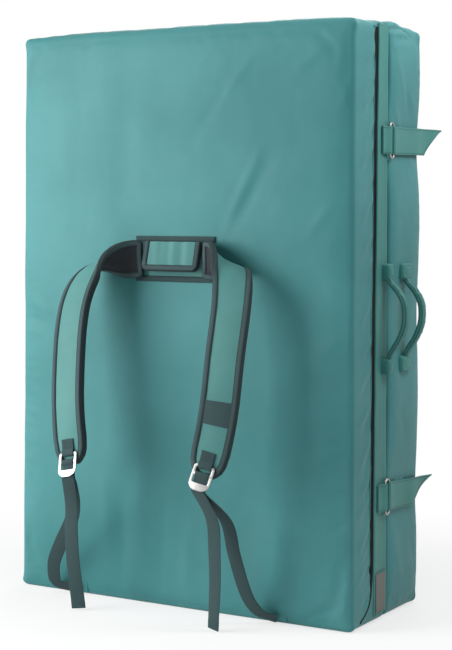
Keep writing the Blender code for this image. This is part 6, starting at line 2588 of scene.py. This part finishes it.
def make_ring(name, x, y, z, reach):
    """A bent wire ring with straight sides and rounded ends."""
    tall = RING_LENGTH / 2 - RING_WIRE / 2 - RING_CORNER
    wide = reach - RING_CORNER
    corner_steps = 10
    sides = 16
    loops = []
    for quarter, (side_y, side_z) in enumerate(((1, 1), (-1, 1), (-1, -1), (1, -1))):
        for step in range(corner_steps + 1):
            angle = (quarter + step / corner_steps) * math.pi / 2
            out_y, out_z = math.cos(angle), math.sin(angle)
            middle_y = y + side_y * wide + RING_CORNER * out_y
            middle_z = z + side_z * tall + RING_CORNER * out_z
            loop = []
            for k in range(sides):
                turned = 2 * math.pi * k / sides
                out = RING_WIRE / 2 * math.cos(turned)
                ring_x = x + RING_WIRE / 2 * math.sin(turned)
                loop.append((ring_x, middle_y + out * out_y, middle_z + out * out_z))
            loops.append(loop)
    points, faces = loft(loops, closed=True)
    ring = add_piece(name + "_wire_ring", points, faces, cast_metal)
    seat(ring, name + "_ring", "cast_metal", name + "_ring")


CLOSURE_RIPPLE = 0.0012
LOOP_STITCH_INSET = 0.002
TAIL_STITCH_FROM_BAR = 0.004


def closure_frame(height, from_front, climb):
    """Where a closure's ring, the two leaves of its strap and the strap's root lie."""
    ring_y = FRONT_WALL_Y + from_front
    ring_x = WALL_X + RING_LIFT
    reach = RING_WIDTH / 2 - RING_WIRE / 2
    around = RING_WIRE / 2 + RING_CLEARANCE + CLOSURE_LEAF / 2
    inner = ring_x - around
    gap = SEAT_GAP + GRIP_TAPE_THICKNESS + SEAT_GAP
    return {
        "height": height,
        "climb": climb,
        "ring_x": ring_x,
        "ring_y": ring_y,
        "reach": reach,
        "rear_bar": ring_y + reach,
        "around": around,
        "inner": inner,
        "outer": inner + CLOSURE_LEAF + gap,
        "root": ring_y + CLOSURE_ROOT_FROM_RING,
    }


def climbed(at, y):
    """The height of a closure strap's middle, which climbs away from the ring."""
    return at["height"] + at["climb"] * (y - at["rear_bar"])


def make_closure_loop(name, at):
    """The webbing loop that holds a ring, sewn down beside the slot."""
    height, ring_x, around = at["height"], at["ring_x"], at["around"]
    half = CLOSURE_WIDTH / 2
    front_bar = at["ring_y"] - at["reach"]
    seated = side_wall_x(height) + SEAT_GAP + FABRIC * 2 + CLOSURE_LEAF / 2
    sewn_end = front_bar - LOOP_LENGTH
    sewn = front_bar - LOOP_LENGTH * 0.5
    folded = seated + CLOSURE_LEAF + SEAT_GAP
    path = [(sewn_end, seated), ((sewn + sewn_end) / 2, seated), (sewn, seated), (front_bar, ring_x - around)]
    path += arc((front_bar, ring_x), around, -90, 90)[1:]
    path += [(sewn, folded), ((sewn + sewn_end) / 2, folded), (sewn_end, folded)]
    places = [(x, y, height) for y, x in refined(path, 1)]
    piece = tape(name + "_sewn_loop", places, [(0, 0, 1)], [(-half, half)], CLOSURE_LEAF, teal_webbing)
    seat(piece, "front_half", "webbing", name + "_ring_loop")
    for z in (height - half + STITCH_INSET, height + half - STITCH_INSET):
        start = (folded + CLOSURE_LEAF / 2, sewn_end + LOOP_STITCH_INSET, z)
        end = (ring_x + around, front_bar, z)
        sew("front_half", dark_thread, [start, end], [(1, 0, 0)])


def sew_closure_tail(name, at, places, cut, cut_start, cut_end):
    """The stitches down both sides of a closure strap's tail, and along its slanting cut."""
    half = CLOSURE_WIDTH / 2
    first = at["rear_bar"] + TAIL_STITCH_FROM_BAR
    tail_places = [p for p in places if p[1] > first and p[0] > at["inner"] + CLOSURE_LEAF]
    for z_off in (-half + STITCH_INSET, half - STITCH_INSET):
        kept = [p for p in tail_places if z_off > 0 or p[1] <= cut_start]
        row = [(x + CLOSURE_LEAF / 2, y, z + z_off) for x, y, z in kept]
        sew(name + "_strap", dark_thread, row, [(1, 0, 0)])
    row = []
    for share, gone in cut:
        y = cut_start + share * (cut_end - cut_start) - STITCH_INSET
        z = climbed(at, y) - half + gone * CLOSURE_WIDTH + STITCH_INSET
        if z < climbed(at, y) + half - STITCH_INSET:
            row.append((at["outer"] + CLOSURE_LEAF / 2, y, z))
    sew(name + "_strap", dark_thread, row, [(1, 0, 0)])


def make_closure_strap(name, at, tail_tip):
    """A closure strap, from its root round the ring's rear bar and back, past the root to its cut."""
    inner, outer, root, rear_bar = at["inner"], at["outer"], at["root"], at["rear_bar"]
    half = CLOSURE_WIDTH / 2
    path = [(root - 0.001, inner), (rear_bar + GRIP_TAPE_FROM_BAR, inner), (rear_bar, inner)]
    path += arc((rear_bar, at["ring_x"]), at["around"], 270, 90)[1:]
    path += [(rear_bar + GRIP_TAPE_FROM_BAR * 0.8, outer), (root, outer)]
    edges = [(-half, half)] * len(path)
    cut_end = at["ring_y"] + tail_tip
    cut_start = cut_end - CLOSURE_TAIL_SLANT
    for y in np.linspace(root, cut_start, 12)[1:-1]:
        path.append((y, outer))
        edges.append((-half, half))
    cut = smooth_path([(a, b) for a, b in tail_cut_shares], 22)
    for share, gone in cut:
        path.append((cut_start + share * (cut_end - cut_start), outer))
        edges.append((-half + gone * CLOSURE_WIDTH, half))
    places = []
    for y, x in path:
        free = max(y - root, 0.0) / (cut_end - root)
        ripple = CLOSURE_RIPPLE * math.sin(y * 78 + at["height"] * 9) * min(free * 3, 1.0)
        places.append((x + ripple, y, climbed(at, y)))
    piece = tape(name + "_strap", places, [(0, 0, 1)], edges, CLOSURE_LEAF, teal_webbing)
    seat(piece, name + "_strap", "webbing", name + "_closure_strap")
    sew_closure_tail(name, at, places, cut, cut_start, cut_end)


def make_closure_grip(name, at):
    """The hook-and-loop tape between a closure strap's two leaves."""
    near = at["inner"] + CLOSURE_LEAF / 2 + SEAT_GAP
    start = at["rear_bar"] + GRIP_TAPE_FROM_BAR
    place_x = near + GRIP_TAPE_THICKNESS / 2
    places = [(place_x, y, climbed(at, y)) for y in np.linspace(start, start + GRIP_TAPE_LENGTH, 6)]
    half = CLOSURE_WIDTH / 2 - SEAT_GAP - CLOSURE_LEAF
    piece = tape(name + "_grip", places, [(0, 0, 1)], [(-half, half)], GRIP_TAPE_THICKNESS, grip_tape)
    seat(piece, name + "_strap", "closure_tape", name + "_grip_tape")


def make_closure_root(name, at):
    """The sewn root of a closure strap on the rear half."""
    half = CLOSURE_WIDTH / 2
    y_ends = (at["root"], at["root"] + CLOSURE_ROOT_LENGTH)
    z_ends = (at["height"] - half, at["height"] + half)
    piece = side_sheet(
        name + "_sewn_root", 1, y_ends, z_ends, -SEAT_GAP, CLOSURE_LEAF + SEAT_GAP, teal_webbing, step=0.006
    )
    seat(piece, "rear_half", "webbing", name + "_strap_root")


def make_closure(name, height, from_front, climb, tail_tip):
    at = closure_frame(height, from_front, climb)
    make_ring(name, at["ring_x"], at["ring_y"], height, at["reach"])
    make_closure_loop(name, at)
    make_closure_strap(name, at, tail_tip)
    make_closure_grip(name, at)
    make_closure_root(name, at)


make_slot_closure()
make_slot_flap()
make_label()
make_slot_hem()
make_fold_hinge()
make_yoke()
make_flap_pad()
make_flap_binding()
for own_side, own_label in ((-1, "left"), (1, "right")):
    make_shoulder(own_side)
    make_lock_tab(own_side, own_label)
    make_lock(own_side, own_label)
    make_tail(own_side, own_label)
    make_anchor_tab(own_side, own_label)
make_standing(-1, "left", left_standing_shares, -STANDING_TURN)
make_standing(1, "right", right_standing_shares, STANDING_TURN)
for own_half in ("front", "rear"):
    make_handle(own_half)
make_closure("upper", UPPER_CLOSURE_HEIGHT, UPPER_RING_FROM_FRONT, UPPER_CLOSURE_CLIMB, UPPER_TAIL_TIP)
make_closure("lower", LOWER_CLOSURE_HEIGHT, LOWER_RING_FROM_FRONT, LOWER_CLOSURE_CLIMB, LOWER_TAIL_TIP)
make_threads()
